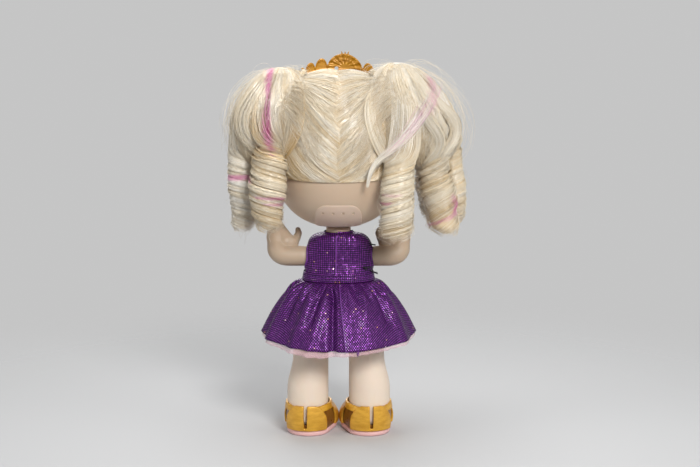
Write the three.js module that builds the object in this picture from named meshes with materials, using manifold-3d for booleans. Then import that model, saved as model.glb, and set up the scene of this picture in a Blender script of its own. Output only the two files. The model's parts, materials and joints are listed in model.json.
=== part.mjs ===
// A miniature doll standing on its own shoes: a hollow vinyl head with rooted hair in two high bunches
// of ringlets, a moulded tiara, turning head, swinging arms and legs, and a gathered party dress.
// Millimetres, +Z up, facing -Y, with the doll's left on +X.

import * as THREE from "three";
import { mergeVertices } from "three/addons/utils/BufferGeometryUtils.js";
import Module from "manifold-3d";

const wasm = await Module();
wasm.setup();

// Clearances and walls
const GAP = 0.3; // between pieces that touch
const TURNING_GAP = 0.5; // between pieces that turn past each other
const HEAD_WALL = 2;
const TORSO_WALL = 1.6;
const SHOE_WALL = 1;
const CLOTH = 0.7;
const TULLE = 0.5;

// Shoes
const SOLE_THICKNESS = 2.2;
const SOLE_EDGE = 0.5; // rounding under the sole's rim
const TOE_RADIUS = 11.4;
const TOE_REACH = 8; // from the ankle's axis to the toe's centre
const TOE_TURN = THREE.MathUtils.degToRad(7);
const UPPER_HEIGHT = 11.6;
const COLLAR_RADIUS = 8.3; // round the instep, at the upper's front edge
const COLLAR_REACH = 2; // how far in front of the ankle's axis that edge is centred
const VAMP_CURVE = 2.2; // over 1, so that the toe box rises steeply before it slopes back
const SLIT_WIDTH = 1.6;
const SLIT_FOOT = 2; // slit's lower end above the sole
const WINDOW_LENGTH = 12;
const WINDOW_HEIGHT = 6.6;
const WINDOW_RISE = 1; // window's lower edge above the upper's own

// Legs
const HIP_HEIGHT = 52;
const LEG_HALF_GAP = 4.4; // from the middle plane to the legs' inner sides
const ANKLE_RADIUS = 8.5;
const CALF_RADIUS = 8.9;
const CALF_RISE = 6; // above the shoe's top
const KNEE_RADIUS = 7.6;
const KNEE_RISE = 20;
const FOOT_LENGTH = 7.6; // toe's reach in front of the ankle's rim
const FOOT_HALF_WIDTH = 7.2;
const HIP_RADIUS = 8.6;
const HIP_WIDTH = 12;
const PEG_RADIUS = 2.2;
const FLANGE_RADIUS = 3.4;
const FLANGE_THICKNESS = 1.3;
const SOCKET_DEPTH = 3.2;

// Torso
const PELVIS_HALF_WIDTH = 8;
const PELVIS_RADIUS = 7.5;
const PELVIS_RISE = 2; // belly's underside above the hips
const BELLY_RISE = 10;
const BELLY_HALF_WIDTH = 14.2;
const BELLY_FRONT = 11.4;
const BELLY_BACK = 9.8;
const SHOULDER_RISE = 25;
const CHEST_HALF_WIDTH = 12.4;
const CHEST_FRONT = 9;
const CHEST_BACK = 8;
const SLOPE_RISE = 30; // where the shoulders start to slope
const TORSO_RISE = 34.3;
const NECK_BASE_RADIUS = 6.6;
const BODY_SQUARENESS = 2.3;
const HIP_TAPER = 0.18; // share of the belly's width that is lost towards the hips
const LOCK_PIN_RADIUS = 1.5;
const LOCK_BOSS_WALL = 1.2;

// Neck
const NECK_RADIUS = 5.2;
const NECK_SHOWN = 2.3;
const STEM_RADIUS = 3.2;
const KNOB_RADIUS = 4.6;
const KNOB_HEIGHT = 1.5;

// Arms, each in a frame with X out of its shoulder and Z up its forearm
const ARM_RADIUS = 4.3;
const UPPER_ARM = 8.4; // from the shoulder's face to the elbow's bend
const ELBOW_BEND = 5.6;
const FOREARM = 8;
const ARM_TILT = THREE.MathUtils.degToRad(28);
const HAND_THICKNESS = 5.4;
const WRIST_SHARE = 0.62; // of the arm's length, where it starts to flatten into the hand
const FINGER_SHARE = 0.8; // where the fingers' rounding starts
const FINGER_ROUNDING = 0.22; // a little over the rest, so that the fingers end blunt
const THUMB_RADIUS = 1.8;
const THUMB_LENGTH = 5;

// Head, measured from its widest level
const HEAD_HALF_WIDTH = 28;
const HEAD_HALF_DEPTH = 26;
const HEAD_DROP = 31;
const HEAD_RISE = 34;
const HEAD_SQUARENESS = 2.35;
const NOSE_RADIUS = 1.9;
const NOSE_DROP = 8;
const PANEL_HALF_WIDTH = 9.8;
const PANEL_RISE = 1.2; // nape panel's lower edge above the head's underside
const PANEL_HEIGHT = 10.4;
const PANEL_CORNER = 5;
const PANEL_THICKNESS = 0.6;
const PANEL_HOLES = 4;
const PANEL_HOLE_RADIUS = 0.5;
const PANEL_HOLE_PITCH = 4.2;
const PANEL_HOLE_DROP = 3.6; // below the panel's top

// Hair
const HAIR_THICKNESS = 2;
const NAPE_HAIRLINE = -9.2;
const BROW_HAIRLINE = 20;
const TIE_OUT = 17;
const TIE_BACK = 2;
const TIE_CORE = 3;
const TIE_TUBE = 0.9;
const CREST_RADIUS = 8.5;
const BUNCH_HALF_DEPTH = 15.5;
const BUNCH_FROM_BACK = 18; // from the head's back to the bunches' middle
const BUNCH_SPLAY = 0.13; // how far a bunch leans out for each millimetre that it falls
const LEFT_BUNCH = { side: 1, out: 1.5, level: 15.6, halfWidth: 16.2, halfHeight: 21.5 };
const RIGHT_BUNCH = { side: -1, out: 4.5, level: 16.6, halfWidth: 19.5, halfHeight: 22.5 };
const RINGLET_TOP = 9;
const RINGLET_TURNS = 3;
const RINGLET_RIDGE = 0.08; // share of a ringlet's radius
const RINGLET_TIP = 0.45; // share of its radius at its lower end
const RINGLET_TAPER = 0.3; // share of its length that tapers

// Ringlets: where each axis starts and ends in plan, outward and back from its bunch's middle, how far
// it falls past the jaw, and its greatest radius
const LEFT_INNER = { top: [-2, 14], foot: [-3.1, 17], past: -1, radius: 7.3 };
const LEFT_OUTER = { top: [9.5, 0], foot: [11, 1], past: 1, radius: 6.3 };
const LEFT_FRONT = { top: [5.5, -13], foot: [8.5, -19.5], past: -1, radius: 6.2 };
const RIGHT_INNER = { top: [-6, 14], foot: [-8.1, 20.4], past: 1.6, radius: 7.3 };
const RIGHT_MIDDLE = { top: [5, 3], foot: [12.5, 4], past: 2.4, radius: 7.4 };
const RIGHT_OUTER = { top: [14.5, -6], foot: [17.5, -11.5], past: -1, radius: 5 };
const RIGHT_FRONT = { top: [2.5, -13], foot: [5.5, -21.5], past: -0.5, radius: 6.2 };

// Tiara
const TIARA_ASIDE = -2.8; // it has slipped to the doll's right
const TIARA_BACK = -13; // its middle's place in depth on the hair
const TIARA_SWEEP = 4; // how far its ends lie behind its middle
const TIARA_THICKNESS = 1.4;
const TIARA_HALF_WIDTH = 18.6;
const TIARA_BAND = 2.4;
const SHELL_HALF_WIDTH = 7.6;
const SHELL_HEIGHT = 5.9;
const LOBE_RADII = [2.6, 2.1, 1.7];
const LOBE_STRETCH = 1.6; // a lobe's height over its radius

// Dress
const EASE = 0.9; // between body and bodice
const BACK_EASE = 2; // behind, over the closure
const TAPE_THICKNESS = 0.5;
const TAPE_WIDTH = 5;
const TAPE_LENGTH = 12;
const COLLAR_EASE = 0.9;
const ARMHOLE_EASE = 0.8;
const WAIST_RISE = 15.4; // waistband's lower edge above the hips
const WAISTBAND_HEIGHT = 3.4;
const WAISTBAND_PROUD = 0.4;
const SKIRT_LENGTH = 25;
const HEM_HALF_WIDTH = 32.6;
const HEM_HALF_DEPTH = 29;
const SKIRT_FLARE = 0.6; // under 1, so that the skirt puffs out below the waist
const HEM_SPREAD = 0.6; // flare of the underskirt below the skirt's hem
const FOLDS = 12;
const FOLD_DEPTH = 1.2;
const FOLD_DRIFT = 0.7; // how far the folds stray from even places, in three swings round the body
const FOLD_SWELL = 0.3; // how much deeper the folds are in two places, and shallower between
const SKIRT_ROWS = 5;
const ROW_CROWDING = 1.5; // over 1, so that the rows lie closer below the waist
const UNDERSKIRT_ROW = 2; // skirt row under which the underskirt is sewn in
const UNDERSKIRT_SHOWN = 1.6;

// Places worked out from the sizes
const HEEL_RADIUS = ANKLE_RADIUS + GAP + SHOE_WALL;
const ANKLE_X = LEG_HALF_GAP + ANKLE_RADIUS;
const UPPER_FOOT = SOLE_THICKNESS + GAP;
const SHOE_TOP = UPPER_FOOT + UPPER_HEIGHT;
const SHOULDER_FACE = CHEST_HALF_WIDTH;
const SHOULDER_HEIGHT = HIP_HEIGHT + SHOULDER_RISE;
const NECK_FOOT = HIP_HEIGHT + TORSO_RISE + GAP;
const HEAD_LEVEL = NECK_FOOT + NECK_SHOWN + GAP + HEAD_DROP;
const PANEL_FOOT = PANEL_RISE - HEAD_DROP;
const PANEL_TOP = PANEL_FOOT + PANEL_HEIGHT;
const BUNCH_BACK = HEAD_HALF_DEPTH - BUNCH_FROM_BACK;

// Solids and their booleans
function closed(geometry) {
  const bare = new THREE.BufferGeometry();
  bare.setAttribute("position", geometry.getAttribute("position"));
  bare.setIndex(geometry.getIndex());
  const merged = mergeVertices(bare, 1e-4);
  const corners = merged.getIndex().array;
  const kept = [];
  for (let k = 0; k < corners.length; k += 3) {
    const [a, b, c] = corners.slice(k, k + 3);
    if (a !== b && b !== c && c !== a) kept.push(a, b, c);
  }
  merged.setIndex(kept);
  return merged;
}

function solid(geometry) {
  const shape = closed(geometry);
  const mesh = new wasm.Mesh({
    numProp: 3,
    vertProperties: new Float32Array(shape.getAttribute("position").array),
    triVerts: new Uint32Array(shape.getIndex().array),
  });
  return new wasm.Manifold(mesh);
}

function geometryOf(body) {
  const mesh = body.getMesh();
  const geometry = new THREE.BufferGeometry();
  geometry.setAttribute("position", new THREE.BufferAttribute(mesh.vertProperties, 3));
  geometry.setIndex(Array.from(mesh.triVerts));
  return geometry;
}

// Rings of points joined into a closed skin, stacked so that each ring runs anticlockwise seen from
// the far end; an endless skin joins its last ring to its first, as a cloth with two faces does
function skin(rings, endless = false) {
  const around = rings[0].length;
  const points = rings.flat();
  const index = [];
  const bands = endless ? rings.length : rings.length - 1;
  for (let band = 0; band < bands; band++) {
    const here = band * around;
    const next = ((band + 1) % rings.length) * around;
    for (let k = 0; k < around; k++) {
      const l = (k + 1) % around;
      index.push(here + k, here + l, next + l, here + k, next + l, next + k);
    }
  }
  if (!endless) {
    const last = (rings.length - 1) * around;
    const foot = points.push(middleOf(rings[0])) - 1;
    const top = points.push(middleOf(rings[rings.length - 1])) - 1;
    for (let k = 0; k < around; k++) {
      const l = (k + 1) % around;
      index.push(foot, l, k, top, last + k, last + l);
    }
  }
  return new THREE.BufferGeometry().setFromPoints(points).setIndex(index);
}

function middleOf(ring) {
  const sum = new THREE.Vector3();
  for (const point of ring) sum.add(point);
  return sum.divideScalar(ring.length);
}

function steps(count, at) {
  return Array.from({ length: count + 1 }, (_, k) => at(k / count));
}

function circle(around, at) {
  return Array.from({ length: around }, (_, k) => at((k / around) * 2 * Math.PI));
}

function rod(radius, from, to, sides = 16) {
  const axis = new THREE.Vector3().subVectors(to, from);
  const geometry = new THREE.CylinderGeometry(radius, radius, axis.length(), sides);
  const turn = new THREE.Quaternion().setFromUnitVectors(new THREE.Vector3(0, 1, 0), axis.normalize());
  const middle = new THREE.Vector3().addVectors(from, to).divideScalar(2);
  return solid(geometry.applyQuaternion(turn).translate(middle.x, middle.y, middle.z));
}

function block(low, high) {
  const size = new THREE.Vector3().subVectors(high, low);
  const middle = new THREE.Vector3().addVectors(low, high).divideScalar(2);
  const geometry = new THREE.BoxGeometry(size.x, size.y, size.z);
  return solid(geometry.translate(middle.x, middle.y, middle.z));
}

function ball(radii, centre, sides = 20) {
  const geometry = new THREE.SphereGeometry(1, sides, sides / 2);
  return solid(geometry.scale(radii.x, radii.y, radii.z).translate(centre.x, centre.y, centre.z));
}

const vec = (x, y, z) => new THREE.Vector3(x, y, z);
const FAR = 400; // past every piece, for cutting blocks

// Finishes
function finish(colour, roughness, metalness = 0) {
  return new THREE.MeshStandardMaterial({ color: colour, roughness, metalness });
}

const SKIN = finish("#dcc0a4", 0.55);
const PANEL_SKIN = finish("#d8b5a0", 0.5);
const BLONDE = finish("#e0cfa8", 0.45);
const PINK_HAIR = finish("#d987ac", 0.45);
const PURPLE = finish("#7a3f86", 0.4, 0.2);
const TULLE_PINK = finish("#e06fae", 0.8);
const TAPE_WHITE = finish("#e8e4e6", 0.9);
const GOLD = finish("#c8972c", 0.35, 0.6);
const SOLE_PINK = finish("#e6bcc4", 0.6);

function piece(name, body, material) {
  const mesh = new THREE.Mesh(body.isBufferGeometry ? closed(body) : geometryOf(body), material);
  mesh.name = name;
  return mesh;
}

// Head
function headHull(grow, around = 22, levels = 10) {
  const power = HEAD_SQUARENESS;
  const rings = steps(levels, (share) => {
    const lift = Math.sin((share - 0.5) * Math.PI);
    const reach = Math.max(0, 1 - Math.abs(lift) ** power) ** (1 / power);
    const height = lift * (grow + (lift < 0 ? HEAD_DROP : HEAD_RISE));
    return circle(around, (turn) =>
      vec(
        (HEAD_HALF_WIDTH + grow) * reach * Math.cos(turn),
        (HEAD_HALF_DEPTH + grow) * reach * Math.sin(turn),
        height
      )
    );
  });
  return solid(skin(rings));
}

// Height of the skull's upper half, grown by a layer, over a place in plan
function crownHeight(x, y, grow) {
  const reach = Math.hypot(x / (HEAD_HALF_WIDTH + grow), y / (HEAD_HALF_DEPTH + grow));
  return (HEAD_RISE + grow) * Math.max(0, 1 - reach ** HEAD_SQUARENESS) ** (1 / HEAD_SQUARENESS);
}

function headDepth(level) {
  const lift = Math.abs(level) / (level < 0 ? HEAD_DROP : HEAD_RISE);
  return HEAD_HALF_DEPTH * (1 - lift ** HEAD_SQUARENESS) ** (1 / HEAD_SQUARENESS);
}

function headShell() {
  const nose = ball(
    vec(NOSE_RADIUS, NOSE_RADIUS, NOSE_RADIUS),
    vec(0, -headDepth(NOSE_DROP), -NOSE_DROP),
    12
  );
  const floor = vec(0, 0, HEAD_WALL - HEAD_DROP);
  const knobSeat = rod(KNOB_RADIUS + TURNING_GAP, floor, vec(0, 0, -HEAD_DROP / 2));
  const neckHole = rod(STEM_RADIUS + GAP, vec(0, 0, -FAR), floor);
  return headHull(0)
    .add(nose)
    .subtract(headHull(-HEAD_WALL, 14, 8))
    .subtract(knobSeat)
    .subtract(neckHole);
}

function napePanel() {
  const outline = new THREE.Shape()
    .moveTo(-PANEL_HALF_WIDTH, PANEL_FOOT)
    .lineTo(PANEL_HALF_WIDTH, PANEL_FOOT)
    .lineTo(PANEL_HALF_WIDTH, PANEL_TOP - PANEL_CORNER)
    .absarc(PANEL_HALF_WIDTH - PANEL_CORNER, PANEL_TOP - PANEL_CORNER, PANEL_CORNER, 0, Math.PI / 2)
    .absarc(PANEL_CORNER - PANEL_HALF_WIDTH, PANEL_TOP - PANEL_CORNER, PANEL_CORNER, Math.PI / 2, Math.PI);
  const prism = new THREE.ExtrudeGeometry(outline, {
    depth: HEAD_HALF_DEPTH * 2,
    bevelEnabled: false,
    curveSegments: 6,
  });
  let panel = headHull(GAP + PANEL_THICKNESS)
    .subtract(headHull(GAP))
    .intersect(solid(prism.rotateX(Math.PI / 2).translate(0, HEAD_HALF_DEPTH * 2, 0)));
  for (let k = 0; k < PANEL_HOLES; k++) {
    const x = (k - (PANEL_HOLES - 1) / 2) * PANEL_HOLE_PITCH;
    const level = vec(x, 0, PANEL_TOP - PANEL_HOLE_DROP);
    panel = panel.subtract(rod(PANEL_HOLE_RADIUS, level, level.clone().setY(HEAD_HALF_DEPTH * 2), 8));
  }
  return panel;
}

// Hair
const hairHull = (grow) => headHull(GAP + HAIR_THICKNESS + grow);

function scalpHair() {
  const back = HEAD_HALF_DEPTH;
  const slope = Math.atan2(BROW_HAIRLINE - NAPE_HAIRLINE, 2 * back);
  const below = new THREE.BoxGeometry(FAR, FAR, FAR).translate(0, 0, -FAR / 2);
  below.rotateX(-slope).translate(0, 0, (BROW_HAIRLINE + NAPE_HAIRLINE) / 2);
  return hairHull(0).subtract(headHull(GAP)).subtract(solid(below));
}

function tieFrame(side) {
  const layer = GAP + HAIR_THICKNESS;
  const x = side * TIE_OUT;
  const height = crownHeight(x, TIE_BACK, layer);
  const nudge = 0.1;
  const outward = vec(
    (crownHeight(x - nudge, TIE_BACK, layer) - crownHeight(x + nudge, TIE_BACK, layer)) / (2 * nudge),
    (crownHeight(x, TIE_BACK - nudge, layer) - crownHeight(x, TIE_BACK + nudge, layer)) / (2 * nudge),
    1
  ).normalize();
  return { root: vec(x, TIE_BACK, height), outward };
}

function tieRing(side, tube) {
  const { root, outward } = tieFrame(side);
  const ring = new THREE.TorusGeometry(TIE_CORE + GAP + TIE_TUBE, tube, 6, 16);
  const turn = new THREE.Quaternion().setFromUnitVectors(vec(0, 0, 1), outward);
  const centre = root.clone().addScaledVector(outward, TIE_TUBE + GAP);
  return solid(ring.applyQuaternion(turn).translate(centre.x, centre.y, centre.z));
}

// A bunch is its falling bulb and the crest over its tie; a grown one clears the ringlets
const bunchX = (bunch) => bunch.side * (HEAD_HALF_WIDTH + bunch.out);

function bunchHull(bunch, grow) {
  const { root, outward } = tieFrame(bunch.side);
  const bulb = new THREE.SphereGeometry(1, 16, 10);
  bulb.scale(bunch.halfWidth + grow, BUNCH_HALF_DEPTH + grow, bunch.halfHeight + grow);
  bulb.applyMatrix4(new THREE.Matrix4().makeShear(0, 0, 0, 0, -bunch.side * BUNCH_SPLAY, 0));
  bulb.translate(bunchX(bunch), BUNCH_BACK, bunch.level);
  const crestRadius = CREST_RADIUS + grow;
  const sideways = vec(bunch.side, 0, 0).multiplyScalar(CREST_RADIUS / 2);
  const crest = root.clone().addScaledVector(outward, -CREST_RADIUS / 4).add(sideways);
  return solid(bulb).add(ball(vec(crestRadius, crestRadius, crestRadius), crest, 12));
}

function hairBunch(bunch) {
  return bunchHull(bunch, 0).subtract(hairHull(GAP)).subtract(tieRing(bunch.side, TIE_TUBE + GAP));
}

const RINGLETS = [
  ["left_inner", LEFT_BUNCH, LEFT_INNER],
  ["left_outer", LEFT_BUNCH, LEFT_OUTER],
  ["left_front", LEFT_BUNCH, LEFT_FRONT],
  ["right_inner", RIGHT_BUNCH, RIGHT_INNER],
  ["right_middle", RIGHT_BUNCH, RIGHT_MIDDLE],
  ["right_outer", RIGHT_BUNCH, RIGHT_OUTER],
  ["right_front", RIGHT_BUNCH, RIGHT_FRONT],
];

function ringlet(bunch, { top, foot, past, radius }) {
  const rings = steps(12, (share) => {
    const swell = Math.sin((Math.min(1, share / RINGLET_TAPER) * Math.PI) / 2);
    const taper = THREE.MathUtils.lerp(RINGLET_TIP, 1, swell);
    const out = bunch.side * THREE.MathUtils.lerp(foot[0], top[0], share);
    const back = THREE.MathUtils.lerp(foot[1], top[1], share);
    const height = THREE.MathUtils.lerp(-HEAD_DROP - past, RINGLET_TOP, share);
    return circle(10, (turn) => {
      const winding = turn - share * RINGLET_TURNS * 2 * Math.PI;
      const reach = radius * taper * (1 - RINGLET_RIDGE + RINGLET_RIDGE * Math.cos(winding));
      return vec(
        bunchX(bunch) + out + reach * Math.cos(turn),
        BUNCH_BACK + back + reach * Math.sin(turn),
        height
      );
    });
  });
  return solid(skin(rings)).subtract(bunchHull(bunch, GAP)).subtract(hairHull(GAP));
}

// Tiara: a shell between rows of shrinking lobes, standing on the hair
function tiaraHeight(x) {
  const dome = (centre, radius) => Math.sqrt(Math.max(0, 1 - ((x - centre) / radius) ** 2));
  let height = SHELL_HEIGHT * dome(0, SHELL_HALF_WIDTH);
  let edge = SHELL_HALF_WIDTH;
  for (const radius of LOBE_RADII) {
    edge += radius;
    const lobe = Math.max(dome(edge, radius), dome(-edge, radius));
    height = Math.max(height, radius * LOBE_STRETCH * lobe);
    edge += radius;
  }
  return TIARA_BAND + height;
}

function tiara() {
  const layer = GAP + HAIR_THICKNESS + GAP;
  const half = TIARA_THICKNESS / 2;
  const rings = steps(48, (share) => {
    const along = THREE.MathUtils.lerp(TIARA_HALF_WIDTH, -TIARA_HALF_WIDTH, share);
    const x = along + TIARA_ASIDE;
    const y = TIARA_BACK + TIARA_SWEEP * (along / TIARA_HALF_WIDTH) ** 2;
    const behind = crownHeight(x, y + half, layer);
    const ahead = crownHeight(x, y - half, layer);
    const top = behind + tiaraHeight(along);
    const [front, back] = [y - half, y + half];
    return [vec(x, front, ahead), vec(x, front, top), vec(x, back, top), vec(x, back, behind)];
  });
  return skin(rings);
}

// Neck post, with a knob inside the head and one inside the torso
function neckPost() {
  const knobFoot = NECK_FOOT - GAP - TORSO_WALL - GAP - KNOB_HEIGHT;
  const shoulder = NECK_FOOT + NECK_SHOWN;
  const knobUnder = shoulder + GAP + HEAD_WALL + GAP;
  const profile = [
    [0, knobFoot],
    [KNOB_RADIUS, knobFoot],
    [KNOB_RADIUS, knobFoot + KNOB_HEIGHT],
    [STEM_RADIUS, knobFoot + KNOB_HEIGHT],
    [STEM_RADIUS, NECK_FOOT],
    [NECK_RADIUS, NECK_FOOT],
    [NECK_RADIUS, shoulder],
    [STEM_RADIUS, shoulder],
    [STEM_RADIUS, knobUnder],
    [KNOB_RADIUS, knobUnder],
    [STEM_RADIUS, knobUnder + KNOB_HEIGHT],
    [0, knobUnder + KNOB_HEIGHT],
  ].map(([radius, height]) => new THREE.Vector2(radius, height));
  return new THREE.LatheGeometry(profile, 16).rotateX(Math.PI / 2);
}

// Torso: half width, front and back over the hips, the same for the body and for its clothes
function bodyAt(rise) {
  const lower = Math.max(0, BELLY_RISE - rise) / BELLY_RISE;
  const upper = THREE.MathUtils.smoothstep(rise, BELLY_RISE, SHOULDER_RISE);
  const slope = THREE.MathUtils.clamp((rise - SLOPE_RISE) / (TORSO_RISE - SLOPE_RISE), 0, 1);
  const round = Math.sqrt(1 - slope * slope);
  const at = (belly, chest) => {
    const straight = THREE.MathUtils.lerp(belly, chest, upper) * (1 - HIP_TAPER * lower * lower);
    return NECK_BASE_RADIUS + (straight - NECK_BASE_RADIUS) * round;
  };
  return {
    width: at(BELLY_HALF_WIDTH, CHEST_HALF_WIDTH),
    front: at(BELLY_FRONT, CHEST_FRONT),
    back: at(BELLY_BACK, CHEST_BACK),
  };
}

function oval(width, front, back, height, around = 20) {
  const bend = (value) => Math.sign(value) * Math.abs(value) ** (2 / BODY_SQUARENESS);
  return circle(around, (turn) => {
    const y = bend(Math.sin(turn));
    return vec(width * bend(Math.cos(turn)), y * (y < 0 ? front : back), height);
  });
}

// The body grown by a layer, and by another one behind, in its own frame with the hips at zero
function bodyHull(grow, behind = grow, from = PELVIS_RISE) {
  const rings = steps(7, (share) => {
    const rise = THREE.MathUtils.lerp(from, TORSO_RISE, share);
    const { width, front, back } = bodyAt(rise);
    const lift = Math.max(0, rise - SLOPE_RISE) / (TORSO_RISE - SLOPE_RISE);
    return oval(width + grow, front + grow, back + behind, rise + lift * grow);
  });
  return solid(skin(rings));
}

const across = (radius, from, to, rise) => rod(radius, vec(from, 0, rise), vec(to, 0, rise));

function torsoShells() {
  let outside = bodyHull(0).add(across(PELVIS_RADIUS, -PELVIS_HALF_WIDTH, PELVIS_HALF_WIDTH, 0));
  const innerHalf = PELVIS_HALF_WIDTH - TORSO_WALL;
  let inside = bodyHull(-TORSO_WALL, -TORSO_WALL, PELVIS_RISE + TORSO_WALL);
  inside = inside.add(across(PELVIS_RADIUS - TORSO_WALL, -innerHalf, innerHalf, 0));
  for (const side of [1, -1]) {
    const thigh = HIP_RADIUS + TURNING_GAP;
    outside = outside.subtract(across(thigh, side * PELVIS_HALF_WIDTH, side * FAR, 0));
    inside = inside.subtract(across(thigh + TORSO_WALL, side * innerHalf, side * FAR, 0));
    const seat = ARM_RADIUS + TURNING_GAP;
    outside = outside.subtract(across(seat, side * SHOULDER_FACE, side * FAR, SHOULDER_RISE));
    inside = inside.subtract(
      across(FLANGE_RADIUS + GAP, side * (SHOULDER_FACE - SOCKET_DEPTH), side * FAR, SHOULDER_RISE)
    );
  }
  let shell = outside.subtract(inside);
  for (const rise of [0, SHOULDER_RISE]) shell = shell.subtract(across(PEG_RADIUS + GAP, -FAR, FAR, rise));
  shell = shell.subtract(rod(STEM_RADIUS + GAP, vec(0, 0, SHOULDER_RISE), vec(0, 0, FAR)));
  const half = GAP / 2;
  let front = shell.intersect(block(vec(-FAR, -FAR, -FAR), vec(FAR, -half, FAR)));
  let rear = shell.intersect(block(vec(-FAR, half, -FAR), vec(FAR, FAR, FAR)));
  for (const rise of [BELLY_RISE, SHOULDER_RISE]) {
    const { front: ahead, back } = bodyAt(rise);
    const from = (y) => vec(0, y, rise);
    const pin = rod(LOCK_PIN_RADIUS, from(-ahead + TORSO_WALL / 2), from(back / 2), 12);
    const boss = rod(LOCK_PIN_RADIUS + GAP + LOCK_BOSS_WALL, from(GAP), from(back - TORSO_WALL / 2), 12);
    const socket = rod(LOCK_PIN_RADIUS + GAP, from(0), from(back / 2 + GAP), 12);
    front = front.add(pin);
    rear = rear.add(boss).subtract(socket);
  }
  return { front, rear };
}

// Dress
function bodicePanels() {
  const reach = EASE + CLOTH;
  const foot = WAIST_RISE + WAISTBAND_HEIGHT + GAP;
  let cloth = bodyHull(reach, BACK_EASE + CLOTH).subtract(bodyHull(EASE, BACK_EASE));
  cloth = cloth.subtract(block(vec(-FAR, -FAR, -FAR), vec(FAR, FAR, foot)));
  cloth = cloth.subtract(rod(NECK_RADIUS + COLLAR_EASE, vec(0, 0, SHOULDER_RISE), vec(0, 0, FAR)));
  for (const side of [1, -1]) {
    const from = side * (SHOULDER_FACE - SOCKET_DEPTH);
    cloth = cloth.subtract(across(ARM_RADIUS + ARMHOLE_EASE, from, side * FAR, SHOULDER_RISE));
  }
  const half = GAP / 2;
  return {
    front: cloth.intersect(block(vec(-FAR, -FAR, -FAR), vec(FAR, -half, FAR))),
    back_left: cloth.intersect(block(vec(half, half, -FAR), vec(FAR, FAR, FAR))),
    back_right: cloth.intersect(block(vec(-FAR, half, -FAR), vec(-half, FAR, FAR))),
  };
}

// A closure tape behind the body, its inner face a layer off it
function closureTape(layer) {
  const foot = WAIST_RISE + WAISTBAND_HEIGHT + GAP;
  const strip = block(vec(-TAPE_WIDTH / 2, 0, foot), vec(TAPE_WIDTH / 2, FAR, foot + TAPE_LENGTH));
  return bodyHull(layer + TAPE_THICKNESS).subtract(bodyHull(layer)).intersect(strip);
}

function waistband() {
  const top = WAIST_RISE + WAISTBAND_HEIGHT;
  const ring = (grow, behind, rise) => {
    const { width, front, back } = bodyAt(rise);
    return oval(width + grow, front + grow, back + behind, rise);
  };
  const proud = EASE + CLOTH + WAISTBAND_PROUD;
  const proudBehind = BACK_EASE + CLOTH + WAISTBAND_PROUD;
  return skin(
    [
      ring(proud, proudBehind, WAIST_RISE),
      ring(proud, proudBehind, top),
      ring(GAP, GAP, top),
      ring(GAP, GAP, WAIST_RISE),
    ],
    true
  );
}

// Skirt cloth at a share of its fall and a turn round the body, drawn in by a layer
function skirtPoint(fall, turn, layer) {
  const waist = bodyAt(WAIST_RISE);
  const flare = Math.min(1, fall) ** SKIRT_FLARE + HEM_SPREAD * Math.max(0, fall - 1);
  const place = FOLDS * turn + FOLD_DRIFT * Math.sin(3 * turn + 1);
  const fold = Math.cos(place) * (1 + FOLD_SWELL * Math.sin(2 * turn));
  const wave = FOLD_DEPTH * fold * Math.sqrt(Math.min(1, fall)) - layer;
  const startBehind = waist.back + BACK_EASE + CLOTH;
  const width = THREE.MathUtils.lerp(waist.width + EASE + CLOTH, HEM_HALF_WIDTH, flare);
  const ahead = THREE.MathUtils.lerp(waist.front + EASE + CLOTH, HEM_HALF_DEPTH, flare);
  const behind = THREE.MathUtils.lerp(startBehind, HEM_HALF_DEPTH, flare);
  const depth = Math.sin(turn) < 0 ? ahead : behind;
  return vec(
    (width + wave) * Math.cos(turn),
    (depth + wave) * Math.sin(turn),
    WAIST_RISE - GAP - fall * SKIRT_LENGTH
  );
}

// Both cloths share the skirt's rows, so that they hang parallel
const skirtFall = (row) => (row / SKIRT_ROWS) ** ROW_CROWDING;

function hangingCloth(falls, layer, thickness) {
  const around = FOLDS * 5;
  const face = (inset) => falls.map((fall) => circle(around, (turn) => skirtPoint(fall, turn, inset)));
  return skin([...face(layer).reverse(), ...face(layer + thickness)], true);
}

function skirt() {
  return hangingCloth(steps(SKIRT_ROWS, (share) => skirtFall(share * SKIRT_ROWS)), 0, CLOTH);
}

function underskirt() {
  const rows = SKIRT_ROWS - UNDERSKIRT_ROW;
  const falls = steps(rows, (share) => skirtFall(UNDERSKIRT_ROW + share * rows));
  falls.push(1 + UNDERSKIRT_SHOWN / SKIRT_LENGTH);
  return hangingCloth(falls, CLOTH + GAP, TULLE);
}

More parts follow.
